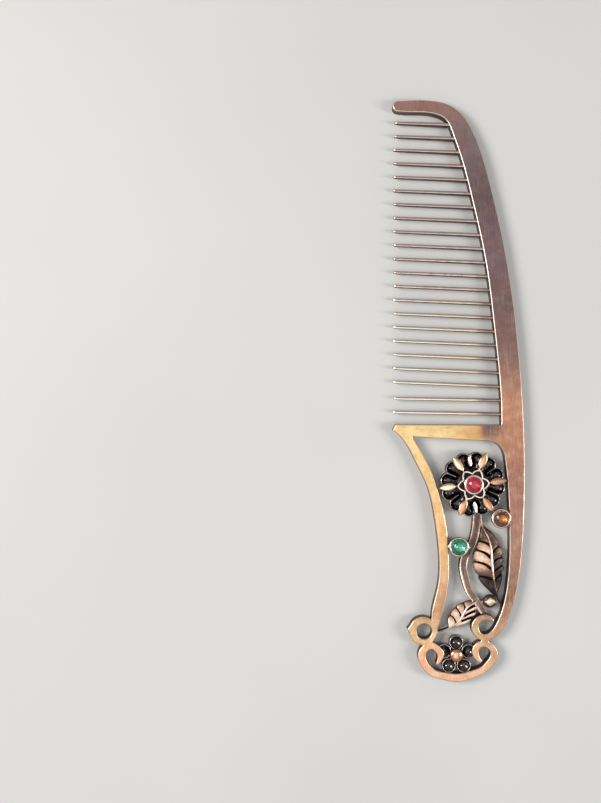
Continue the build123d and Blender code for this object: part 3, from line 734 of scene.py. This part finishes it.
def bezel_profile(seat, foot, rubbed_and_lit=1.0):
    """Profile of a stone cup: its foot, the wall with a lip burnished over the stone, and the pocket."""
    rim = seat + BEZEL_H
    wall = [
        (BEZEL_R, seat + 0.25, 0.3), (BEZEL_R, rim - 0.28, 0.55), (BEZEL_R - 0.08, rim - 0.1, 0.95),
        (BEZEL_R - 0.22, rim, 1.0), (BEZEL_R - 0.42, rim, 1.0), (POCKET_R - 0.03, rim - 0.1, 0.8),
        (POCKET_R - 0.12, rim - 0.24, 0.5), (POCKET_R, rim - 0.34, 0.2), (POCKET_R, seat, 0.05),
        (AXIS_R, seat, 0.05),
    ]
    return [(r, z, FOOT_WEAR) for r, z in foot] + [(r, z, worn_and_lit * rubbed_and_lit) for r, z, worn_and_lit in wall]


def make_rosette_cup():
    """Openwork collar with the cup of the red stone."""
    seat = node_box("rosette_cup")[1].z - BEZEL_H
    outline = collar_outline()
    wire = swept_mesh(outline, lambda t: COLLAR_SECTION, closed=True)
    levels = (COLLAR_LOW, COLLAR_FLOOR)
    floor_plate = stack([[(p.x, p.y, z, COLLAR_FLOOR_WEAR) for p in outline] for z in levels])
    foot = [(AXIS_R, COLLAR_FLOOR - 0.1), (BEZEL_R, COLLAR_FLOOR - 0.1)]
    cup = turned_mesh(ROSETTE, bezel_profile(seat, foot), 96)
    return solid("rosette_collar", [wire, floor_plate, cup], "rosette_cup")


def bar_mesh(line, half, low, high):
    """Flat bar with softened edges."""
    section = mirrored([(-half, low, 0.3), (-half, high - 0.15, 0.5), (-half + 0.15, high, 0.7)])
    return swept_mesh(smooth_line(line, 0.4), lambda t: section)


def ear_mesh(centre, turn, low, high):
    """Small pointed ear at a cup's rim."""
    tip = around(centre, turn, EAR_REACH)
    roots = [around(centre, turn, BEZEL_R - 0.35, side) for side in (EAR_HALF, -EAR_HALF)]
    return stack([[(*tip, low, 0.9)] + [(*root, low, 0.5) for root in roots],
                  [(*tip, high - 0.15, 1.0)] + [(*root, high, 0.9) for root in roots]])


CUP_FOOT = [(AXIS_R, 0.0), (1.75, 0.0), (1.9, 0.15), (2.3, 1.4)]   # radius, height above the cup's back
BAR_HALF = 0.65
# the green and amber cups' rims are dimmed to these shares, as painted shade
GREEN_BAR, GREEN_BAR_TOP, GREEN_RIM_SHADING = [(-3.4, -47.85), (-0.3, -47.7), (2.6, -48.0)], 2.4, 0.78
AMBER_BAR, AMBER_BAR_TOP, AMBER_RIM_SHADING = [(12.6, -38.95), (15.6, -38.8)], 2.8, 0.8
GREEN_EARS = (176.566, -3.434)   # directions of the green cup's two ears, in degrees
EAR_REACH, EAR_HALF = 3.5, 0.85


def make_stone_cup(colour, centre, bar, bar_top, ears, rubbed_and_lit):
    """Tapered cup on its bar, with a bright rim dimmed by painted shade, and perhaps ears, each given by
    its direction.
    """
    low, high = node_box(f"{colour}_cup")
    seat = high.z - BEZEL_H
    foot = [(radius, low.z + height) for radius, height in CUP_FOOT]
    foot += [(BEZEL_R - 0.3, seat), (BEZEL_R - 0.1, seat + 0.12)]
    parts = [turned_mesh(centre, bezel_profile(seat, foot, rubbed_and_lit), 96)]
    parts.append(bar_mesh(bar, BAR_HALF, low.z + TUCK, bar_top))
    parts += [ear_mesh(centre, radians(turn), seat + 0.55, high.z - 0.05) for turn in ears]
    return solid(f"{colour}_stone_cup", parts, f"{colour}_cup")


# ======== stones
STONE_R = 2.4
TABLE_R, STAR_FACET_R, CULET_R = 1.3, 1.95, 0.25
PAVILION_H, GIRDLE_H = 0.55, 0.15   # pointed back and upright edge
STAR_FACET_RISE = 0.62   # as a share of the crown's height
FACETS = 8               # around the table, and twice as many around the girdle
FOIL_TIP_R = 0.3
FOIL_GAP, FOIL_DROP = 0.03, 0.02


def make_stone(name, node, centre):
    """Round brilliant with table, star, kite and girdle facets above a pointed pavilion."""
    low, high = node_box(node)
    girdle_low = low.z + PAVILION_H
    girdle_top = girdle_low + GIRDLE_H
    points = []

    def ring(radius, height, count, turn=0.0):
        start = len(points)
        points.extend((*around(centre, 2 * pi * (k + turn) / count, radius), height, 0)
                      for k in range(count))
        return start

    table = ring(TABLE_R, high.z, FACETS)
    middle = ring(STAR_FACET_R, girdle_top + (high.z - girdle_top) * STAR_FACET_RISE, FACETS, 0.5)
    upper = ring(STONE_R, girdle_top, 2 * FACETS)
    lower = ring(STONE_R, girdle_low, 2 * FACETS)
    culet = ring(CULET_R, low.z, FACETS)
    faces = [list(range(table, table + FACETS)), list(range(culet, culet + FACETS))[::-1]]
    for k in range(FACETS):
        n = (k + 1) % FACETS
        here, between, there = 2 * k, 2 * k + 1, 2 * n
        faces.append([table + k, middle + k, table + n])
        faces.append([table + k, middle + (k - 1) % FACETS, upper + here, middle + k])
        faces.append([middle + k, upper + here, upper + between])
        faces.append([middle + k, upper + between, upper + there])
        faces.append([culet + k, culet + n, lower + there, lower + between, lower + here])
        faces.append([upper + here, lower + here, lower + between, upper + between])
        faces.append([upper + between, lower + between, lower + there, upper + there])
    return solid(name, [(points, faces)], node, smooth=False)


def make_foil(name, node, bed_node, centre):
    """Faceted mirror foil behind a stone, on its cement."""
    back = node_box(node)[0].z
    seat = node_box(bed_node)[0].z
    girdle = back + PAVILION_H - FOIL_DROP
    profile = [
        (FOIL_TIP_R, back - FOIL_GAP, 0), (STONE_R - FOIL_GAP, girdle, 0),
        (POCKET_R - FOIL_DROP, girdle, 0), (POCKET_R - FOIL_DROP, seat, 0),
    ]
    return solid(name, [turned_mesh(centre, profile, 2 * FACETS)], bed_node, smooth=False)


# ======== bud and knob
BUD = (9.8, -65.0)
BUD_BALL = [             # radius, height above the bud's back, wear
    (AXIS_R, 0.0, 0.1), (1.35, 0.0, 0.1), (1.8, 0.3, 0.15), (2.05, 0.8, 0.25), (2.1, 1.15, 0.3),
    (2.05, 1.45, 0.35), (1.85, 1.8, 0.4), (1.5, 2.05, 0.3), (1.0, 2.2, 0.15), (AXIS_R, 2.25, 0.1),
]
BUD_CAP = (1.85, 1.4)    # half length and half width of the polished top
BUD_CAP_LOW = 1.95       # height of its foot above the bud's back
BUD_CAP_EDGE = [(1.0, 0.25), (0.93, 0.08), (0.82, 0.0)]   # share of the plan, depth below the top
BUD_STALK = [(6.6, -65.5), (7.7, -65.3), (8.9, -65.0)]
BUD_STALK_HALF, BUD_STALK_BACK, BUD_STALK_TOP = 0.45, 1.0, 1.9
KNOB_SHANK = [           # radius, height above the knob's back, wear
    (AXIS_R, 0.0, 0.4), (1.0, 0.0, 0.4), (1.1, 0.1, 0.4), (1.1, 0.3, 0.4), (0.6, 0.3, 0.4),
]
KNOB_DOME = [            # radius, depth below the knob's top, wear
    (0.6, 2.1, 0.4), (2.1, 2.1, 0.1), (2.2, 1.5, 0.15), (2.14, 1.0, 0.28), (1.95, 0.55, 0.5),
    (1.6, 0.26, 0.66), (1.1, 0.1, 0.72), (0.5, 0.02, 0.73), (AXIS_R, 0.0, 0.73),
]


def bud_cap(low, high, segments=48):
    """Polished flat top of the bud, with four soft points and a rounded edge."""
    levels = [(1.0, low, 0.4)] + [(share, high - depth, 1.15) for share, depth in BUD_CAP_EDGE]
    rings = []
    for share, height, worn_and_lit in levels:
        ring = []
        for k in range(segments):
            a = 2 * pi * k / segments
            reach = share / (abs(cos(a)) ** 1.1 + abs(sin(a)) ** 1.1) ** 0.91
            along, across = BUD_CAP[0] * reach * cos(a), BUD_CAP[1] * reach * sin(a)
            ring.append((BUD[0] + along, BUD[1] + across, height, worn_and_lit))
        rings.append(ring)
    return stack(rings)


def make_bud():
    """Closed bud: a dark ball with a polished pointed top, on a short stalk."""
    low, high = node_box("bud")
    ball = turned_mesh(BUD, [(radius, low.z + height, worn_and_lit) for radius, height, worn_and_lit in BUD_BALL], 48)
    stalk = bar_mesh(BUD_STALK, BUD_STALK_HALF, BUD_STALK_BACK, BUD_STALK_TOP)
    return solid("flower_bud", [ball, stalk, bud_cap(low.z + BUD_CAP_LOW, high.z)], "bud")


def make_knob():
    """Domed centre of the tail flower, with its rivet shank."""
    low, high = node_box("tail_knob")
    profile = [(radius, low.z + height, worn_and_lit) for radius, height, worn_and_lit in KNOB_SHANK]
    profile += [(radius, high.z - depth, worn_and_lit) for radius, depth, worn_and_lit in KNOB_DOME]
    return solid("tail_button", [turned_mesh(TAIL, profile, 48)], "tail_knob")


# ======== materials
class Surface:
    """A procedural material being put together on a Principled shader."""

    def __init__(self, name):
        self.material = bpy.data.materials.new(name)
        self.material.use_nodes = True
        self.nodes = self.material.node_tree.nodes
        self.links = self.material.node_tree.links
        self.shader = self.nodes["Principled BSDF"]
        self.place = self.nodes.new("ShaderNodeTexCoord").outputs["Object"]

    def feed(self, socket, value):
        """Sets a socket to a number, a vector or a colour, or links it to a node's output."""
        if isinstance(value, bpy.types.NodeSocket):
            self.links.new(value, socket)
        elif socket.type == "RGBA":
            socket.default_value = (*value, 1.0)
        else:
            socket.default_value = value

    def set(self, **values):
        """Feeds sockets of the shader, named with _ for a space."""
        for name, value in values.items():
            self.feed(self.shader.inputs[name.replace("_", " ")], value)

    def add(self, kind, output, sockets, **settings):
        """Adds a node, sets it up, feeds its sockets and returns one of its outputs."""
        node = self.nodes.new("ShaderNode" + kind)
        for name, value in settings.items():
            setattr(node, name, value)
        for socket, value in sockets.items():
            self.feed(node.inputs[socket], value)
        return node.outputs[output]

    def noise(self, scale, detail=3.0, rough=0.55, stretch=(1, 1, 1)):
        """Noise in object space, with a size in features per metre."""
        place = self.add("Mapping", 0, {"Vector": self.place, "Scale": stretch})
        values = {"Vector": place, "Scale": scale, "Detail": detail, "Roughness": rough}
        return self.add("TexNoise", "Fac", values)

    def wear_and_light(self):
        return self.add("Attribute", "Fac", {}, attribute_name="wear_and_light")

    def axis(self, index):
        return self.add("SeparateXYZ", index, {0: self.place})

    def distance(self, x, y):
        """Distance from an upright line at x, y."""
        flat = self.add("VectorMath", 0, {0: self.place, 1: (1, 1, 0)}, operation="MULTIPLY")
        return self.add("VectorMath", "Value", {0: flat, 1: (x * MM, y * MM, 0)}, operation="DISTANCE")

    def sum(self, a, b):
        return self.add("Math", 0, {0: a, 1: b}, operation="ADD")

    def product(self, first, *others):
        for other in others:
            first = self.add("Math", 0, {0: first, 1: other}, operation="MULTIPLY")
        return first

    def span(self, value, low, high, to_low=0.0, to_high=1.0, smooth=True):
        """Maps a range of a value to another range."""
        limits = {"From Min": low, "From Max": high, "To Min": to_low, "To Max": to_high}
        curve = "SMOOTHSTEP" if smooth else "LINEAR"
        return self.add("MapRange", "Result", {"Value": value, **limits}, interpolation_type=curve)

    def fade(self, value, limits, most=1.0):
        """Rises from 0 to the most between two limits of a coordinate, given in millimetres."""
        return self.span(value, limits[0] * MM, limits[1] * MM, 0.0, most)

    def ramp(self, value, stops):
        """Colour ramp over a value, from (place, colour) stops."""
        node = self.nodes.new("ShaderNodeValToRGB")
        elements = node.color_ramp.elements
        while len(elements) < len(stops):
            elements.new(0.5)
        for element, (place, colour) in zip(elements, stops):
            element.position = place
            element.color = (*colour, 1.0)
        self.links.new(value, node.inputs["Fac"])
        return node.outputs["Color"]

    def mix(self, factor, a, b):
        return self.add("Mix", 2, {0: factor, 6: a, 7: b}, data_type="RGBA")

    def bump(self, value, depth):
        bump = self.add("Bump", "Normal", {"Height": value, "Strength": 1.0, "Distance": depth * MM})
        self.set(Normal=bump)


DARK = (0.022, 0.020, 0.022)
BROWN = (0.16, 0.10, 0.080)
COPPER = (0.68, 0.35, 0.21)
BRIGHT = (0.95, 0.70, 0.54)
CREAM_HIGHLIGHT = (0.98, 0.84, 0.70)
ORANGE_SHEEN = (0.78, 0.40, 0.14)
RUST = (0.40, 0.19, 0.08)
ROSE = (0.50, 0.24, 0.18)
MAUVE_SHADE = (0.225, 0.130, 0.118)
PINK_SHEEN = (0.70, 0.51, 0.46)
STRAW_SHEEN = (1.0, 0.82, 0.56)
PALE_STRAW_SHEEN = (1.0, 0.92, 0.76)
UMBER_SHADE = (0.26, 0.16, 0.14)


def worn_and_lit_surface(name, stops, rough, grime):
    """Antique copper whose colour follows how far it is rubbed and the painted light and shade carried with
    that, and the rubbing itself.
    """
    surface = Surface(name)
    surface.set(Metallic=1.0)
    blotch = surface.noise(420, 4.0, 0.6)
    fine = surface.noise(3200, 3.0, 0.6)
    rubbed_and_lit = surface.wear_and_light()
    rubbed_and_lit = surface.sum(rubbed_and_lit, surface.span(blotch, 0.3, 0.7, -grime, grime * 0.6))
    rubbed_and_lit = surface.sum(rubbed_and_lit, surface.span(fine, 0.35, 0.65, -0.07, 0.07))
    surface.set(Base_Color=surface.ramp(rubbed_and_lit, stops))
    surface.set(Roughness=surface.span(rubbed_and_lit, 0.0, 1.0, rough[0], rough[1]))
    surface.bump(fine, 0.012)
    return surface, rubbed_and_lit


def worn_and_lit_copper(name, stops, rough, grime):
    return worn_and_lit_surface(name, stops, rough, grime)[0].material


RAIL_TONES_AND_LIGHT = [           # height on the comb and tone of the copper, up the handle's left side; partly plating colour, partly painted light, golden and brighter where the light reflects
    (-88, (0.83, 0.49, 0.31)), (-82, (0.86, 0.46, 0.26)), (-74.5, (0.66, 0.44, 0.235)),
    (-69, (0.50, 0.29, 0.155)), (-61, (0.58, 0.35, 0.20)), (-52, (0.74, 0.45, 0.23)),
    (-42, (0.86, 0.53, 0.25)), (-30, (0.80, 0.53, 0.22)), (-13, (0.96, 0.71, 0.33)),
]
SPINE_TONES_AND_LIGHT = [          # the same up the right rail and the spine, from the bow to the guard; partly plating colour, partly painted light and shade, mauve and darker where little light reflects
    (-85, (0.78, 0.46, 0.28)), (-74, (0.61, 0.34, 0.20)), (-63, (0.27, 0.140, 0.10)),
    (-50, (0.44, 0.25, 0.18)), (-26, (0.41, 0.20, 0.14)), (-15, (0.58, 0.28, 0.17)),
    (-3, (0.70, 0.35, 0.22)), (11, (0.36, 0.21, 0.18)), (28, (0.30, 0.19, 0.18)),
    (44, (0.38, 0.235, 0.26)), (60, (0.30, 0.195, 0.20)), (80, (0.50, 0.36, 0.36)),
    (88, (0.72, 0.40, 0.31)),
]
TONE_REACH = 90.0        # the tones are given between this far below and above the comb's middle


def tone_ramp(surface, y, tones):
    """Colour that changes with the height on the comb, partly plating colour and partly painted light."""
    height = surface.span(y, -TONE_REACH * MM, TONE_REACH * MM, smooth=False)
    return surface.ramp(height, [((place / TONE_REACH + 1) / 2, colour) for place, colour in tones])


def frame_material():
    """Brushed antique copper: golden on the handle's left rail and mauve brown up the spine, both partly
    painted light, with painted highlights on the edges and painted shade on the walls.
    """
    surface = Surface("frame_copper")
    surface.set(Metallic=1.0)
    x = surface.axis(0)
    y = surface.axis(1)
    crossbar = surface.product(
        surface.fade(y, (-15.8, -14.2)), surface.fade(y, (-10.0, -10.6)), surface.fade(x, (10.5, 8.5)))
    left_rail = surface.product(surface.fade(x, (9.0, 6.5)), surface.fade(y, (-9.5, -10.5)))
    # painted shade: the corner between the crossbar and the spine turns mauve
    corner_shade = surface.product(
        surface.fade(x, (5.0, 8.5)), surface.fade(x, (16.5, 10.0)),
        surface.fade(y, (-15.5, -12.5)), surface.fade(y, (-7.5, -11.0)))
    along_y = surface.noise(1500, 3.0, 0.55, (8, 0.13, 8))
    along_x = surface.noise(1500, 3.0, 0.55, (0.13, 8, 8))
    across_bar = surface.product(along_x, crossbar)
    brush = surface.sum(across_bar, surface.product(along_y, surface.span(crossbar, 0.0, 1.0, 1.0, 0.0)))
    blotch = surface.noise(150, 4.0, 0.6)
    patch = surface.noise(330, 5.0, 0.65)
    grain = surface.noise(2600, 2.0, 0.5)
    # painted reflection, partly plating colour: the crossbar turns orange towards its right end
    crossbar_sheen = surface.product(crossbar, surface.fade(x, (-6.0, 6.0), 0.7))
    golden_sheen = surface.mix(crossbar_sheen, tone_ramp(surface, y, RAIL_TONES_AND_LIGHT), ORANGE_SHEEN)
    base = surface.mix(left_rail, tone_ramp(surface, y, SPINE_TONES_AND_LIGHT), golden_sheen)
    base = surface.mix(corner_shade, base, MAUVE_SHADE)
    base = surface.mix(surface.span(blotch, 0.48, 0.72, 0.0, 0.4), base, ROSE)
    tone = surface.sum(surface.span(brush, 0.3, 0.7, -0.5, 0.5), surface.span(patch, 0.3, 0.7, -0.4, 0.4))
    streak = surface.product(surface.span(tone, 0.0, -0.8), surface.span(left_rail, 0.0, 1.0, 0.5, 0.4))
    base = surface.mix(streak, base, surface.mix(left_rail, BROWN, RUST))
    base = surface.mix(surface.span(tone, 0.05, 0.8, 0.0, 0.42), base, BRIGHT)
    worn_and_lit = surface.wear_and_light()
    # painted highlight along the edges, partly rubbed bright
    base = surface.mix(surface.span(worn_and_lit, 0.6, 1.0, 0.0, 0.8), base, CREAM_HIGHLIGHT)
    # painted shade on the walls
    surface.set(Base_Color=surface.mix(surface.span(worn_and_lit, 0.42, 0.15, 0.0, 0.96), base, DARK))
    surface.set(Roughness=surface.span(tone, -0.8, 0.8, 0.42, 0.28))
    relief = surface.sum(surface.product(brush, 0.8), surface.product(grain, 0.2))
    surface.bump(relief, 0.015)
    return surface.material


def tooth_material():
    """Rubbed copper teeth with painted reflections on their crests, greyish pink near the guard and pale
    gold near the handle, and painted shade that dulls the roots.
    """
    stops = [(0.0, DARK), (0.35, (0.12, 0.08, 0.07)), (0.7, (0.62, 0.38, 0.30)), (1.0, (0.92, 0.70, 0.60))]
    surface, rubbed_and_lit = worn_and_lit_surface("tooth_copper", stops, (0.4, 0.28), 0.2)
    x = surface.axis(0)
    y = surface.axis(1)
    crest = surface.span(rubbed_and_lit, 0.45, 0.8)
    # painted reflections on the crests: pink near the guard, pale gold near the handle
    upper = surface.product(crest, surface.fade(y, (34, 52), 0.8))
    lower = surface.product(crest, surface.fade(y, (36, 20), 0.9), surface.fade(x, (8, 3)))
    gold_sheen = surface.mix(surface.fade(x, (0, -14)), STRAW_SHEEN, PALE_STRAW_SHEEN)
    # painted shade dulls the roots near the spine
    root = surface.product(surface.fade(y, (50, 30)), surface.fade(x, (4.5, 8.5), 0.7))
    base = surface.mix(upper, surface.ramp(rubbed_and_lit, stops), PINK_SHEEN)
    surface.set(Base_Color=surface.mix(root, surface.mix(lower, base, gold_sheen), UMBER_SHADE))
    return surface.material


PAINTED_GLOW_SHIFT = 1.0         # the painted glow lies this far to the right of a stone's middle
PAINTED_GLOW_SPAN = 4.0          # and its colours spread this far


def stone_material(name, centre, stops, clear):
    """Faceted crystal, slightly milky. The colour stops run outwards from a painted glow beside its middle.
    """
    surface = Surface(name)
    surface.set(IOR=1.55, Roughness=0.03, Transmission_Weight=clear)
    from_painted_glow = surface.distance(centre[0] + PAINTED_GLOW_SHIFT, centre[1])
    from_painted_glow = surface.span(from_painted_glow, 0.0, PAINTED_GLOW_SPAN * MM, smooth=False)
    cloud = surface.span(surface.noise(700, 2.0, 0.5), 0.3, 0.7, -0.12, 0.12)
    surface.set(Base_Color=surface.ramp(surface.sum(from_painted_glow, cloud), stops))
    return surface.material


def foil_material(name, rough):
    """Silvered foil on jeweller's cement."""
    surface = Surface(name)
    surface.set(Metallic=1.0)
    crinkle = surface.noise(1500, 3.0, 0.6)
    surface.set(Base_Color=surface.ramp(crinkle, [(0.3, (0.78, 0.76, 0.72)), (0.7, (0.95, 0.94, 0.90))]))
    surface.set(Roughness=surface.span(crinkle, 0.3, 0.7, rough, rough + 0.14))
    surface.bump(crinkle, 0.02)
    return surface.material


def floor_material():
    surface = Surface("studio_floor")
    surface.set(Roughness=0.9)
    mottle = surface.noise(8, 3.0, 0.5)
    surface.set(Base_Color=surface.ramp(mottle, [(0.3, (0.60, 0.59, 0.575)), (0.7, (0.64, 0.63, 0.615))]))
    return surface.material


def dress(piece, material):
    piece.data.materials.clear()
    piece.data.materials.append(material)


# ======== build
frame_copper = frame_material()
tooth_copper = tooth_material()
aged_copper = worn_and_lit_copper(
    "aged_copper", [(0.0, DARK), (0.4, (0.15, 0.11, 0.09)), (0.75, (0.42, 0.29, 0.25)), (1.0, BRIGHT)],
    (0.5, 0.35), grime=0.12)
leaf_copper = worn_and_lit_copper(
    "leaf_copper", [(0.0, DARK), (0.35, BROWN), (0.7, (0.62, 0.37, 0.25)), (1.0, (0.95, 0.74, 0.59))],
    (0.5, 0.32), grime=0.14)
# the silver top tone is a painted highlight, seen on the rosette's spindle crests and rims
dark_copper = worn_and_lit_copper(
    "dark_copper",
    [(0.0, (0.048, 0.043, 0.049)), (0.3, (0.09, 0.08, 0.083)), (0.6, (0.26, 0.21, 0.19)),
     (1.0, (0.90, 0.78, 0.69))],
    (0.12, 0.26), grime=0.05)
polished_copper = worn_and_lit_copper(
    "polished_copper",
    [(0.0, DARK), (0.3, BROWN), (0.6, COPPER), (0.82, (0.93, 0.59, 0.36)), (1.0, (1.0, 0.77, 0.52))],
    (0.35, 0.22), grime=0.12)
bezel_copper = worn_and_lit_copper(
    "bezel_copper", [(0.0, DARK), (0.4, BROWN), (0.75, (0.66, 0.50, 0.42)), (1.0, (0.98, 0.82, 0.72))],
    (0.35, 0.22), grime=0.08)
bright_foil = foil_material("bright_foil", 0.08)
soft_foil = foil_material("soft_foil", 0.3)
STONES = [               # colour, CAD nodes' prefix, centre, clearness, foil, colours out from the painted glow
    ("red", "rosette", ROSETTE, 0.72, bright_foil, [
        (0.0, (0.94, 0.12, 0.22)), (0.15, (0.80, 0.03, 0.11)), (0.35, (0.74, 0.025, 0.09)),
        (0.8, (0.94, 0.10, 0.20))]),
    ("green", "green", GREEN, 0.86, soft_foil, [
        (0.0, (0.50, 0.95, 0.78)), (0.3, (0.20, 0.75, 0.54)), (0.6, (0.08, 0.52, 0.33))]),
    ("amber", "amber", AMBER, 0.95, soft_foil, [
        (0.0, (1.0, 0.70, 0.26)), (0.22, (1.0, 0.52, 0.12)), (0.36, (0.52, 0.16, 0.10)),
        (0.6, (0.46, 0.38, 0.28))]),
]

dress(make_frame(), frame_copper)
for number in range(1, TOOTH_COUNT + 1):
    dress(make_tooth(number), tooth_copper)
dress(make_stem(), aged_copper)
dress(make_leaf("large_leaf_blade", LARGE_LEAF, "large_leaf"), leaf_copper)
dress(make_leaf("small_leaf_blade", SMALL_LEAF, "small_leaf"), leaf_copper)
dress(make_bud(), leaf_copper)
dress(make_rosette_base(), dark_copper)
dress(make_star(), polished_copper)
dress(make_rosette_cup(), bezel_copper)
dress(make_stone_cup("green", GREEN, GREEN_BAR, GREEN_BAR_TOP, GREEN_EARS, GREEN_RIM_SHADING), bezel_copper)
dress(make_stone_cup("amber", AMBER, AMBER_BAR, AMBER_BAR_TOP, [], AMBER_RIM_SHADING), bezel_copper)
dress(make_tail_flower(), dark_copper)
dress(make_knob(), polished_copper)
for colour, prefix, centre, clear, foil, stops in STONES:
    crystal = stone_material(f"{colour}_stone", centre, stops, clear)
    dress(make_stone(f"{colour}_chaton", f"{prefix}_stone", centre), crystal)
for colour, prefix, centre, clear, foil, stops in STONES:
    dress(make_foil(f"{colour}_foil", f"{prefix}_stone", f"{prefix}_glue_bed", centre), foil)
dress(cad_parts["rosette_rivet"], polished_copper)

# ======== studio
VIEW_SHIFT = (-48.85, -3.14)   # the comb lies to the right in the view
VIEW_HEIGHT = 270.0            # camera height above the frame's front
VIEW_TALL = 247.5              # height of the view on the frame's front
SENSOR = 36.0

floor_mesh = bpy.data.meshes.new("floor")
floor_mesh.from_pydata([(-3, -3, 0), (3, -3, 0), (3, 3, 0), (-3, 3, 0)], [], [[0, 1, 2, 3]])
floor = bpy.data.objects.new("floor", floor_mesh)
bpy.context.collection.objects.link(floor)
dress(floor, floor_material())

camera_data = bpy.data.cameras.new("camera")
camera_data.sensor_width = SENSOR
camera_data.lens = SENSOR * VIEW_HEIGHT / VIEW_TALL
camera_data.clip_start = 0.005
camera = bpy.data.objects.new("camera", camera_data)
camera.location = (VIEW_SHIFT[0] * MM, VIEW_SHIFT[1] * MM, (FRAME_T + VIEW_HEIGHT) * MM)
bpy.context.collection.objects.link(camera)
bpy.context.scene.camera = camera


def area_light(name, place, target, size, power, colour):
    """Rectangular soft light turned towards a target, all in metres."""
    data = bpy.data.lights.new(name, "AREA")
    data.shape = "RECTANGLE"
    data.size, data.size_y = size
    data.energy = power
    data.color = colour
    light = bpy.data.objects.new(name, data)
    light.location = place
    light.rotation_euler = (Vector(target) - Vector(place)).to_track_quat("-Z", "Y").to_euler()
    bpy.context.collection.objects.link(light)


area_light("key", (-0.55, 0.10, 0.50), (0, 0, 0), (0.30, 0.30), 4.0, (1.0, 0.98, 0.95))
area_light("rim", (0.50, -0.10, 0.40), (0, 0, 0), (0.12, 0.30), 1.7, (1.0, 0.99, 0.97))
area_light("card", (-0.01, -0.21, 0.62), (-0.01, -0.21, 0), (0.36, 0.42), 0.64, (1.0, 0.97, 0.93))

world = bpy.data.worlds.new("studio")
world.use_nodes = True
sky = world.node_tree.nodes["Background"]
sky.inputs["Color"].default_value = (0.93, 0.96, 1.0, 1)
sky.inputs["Strength"].default_value = 0.36
bpy.context.scene.world = world
bpy.context.scene.view_settings.view_transform = "Standard"
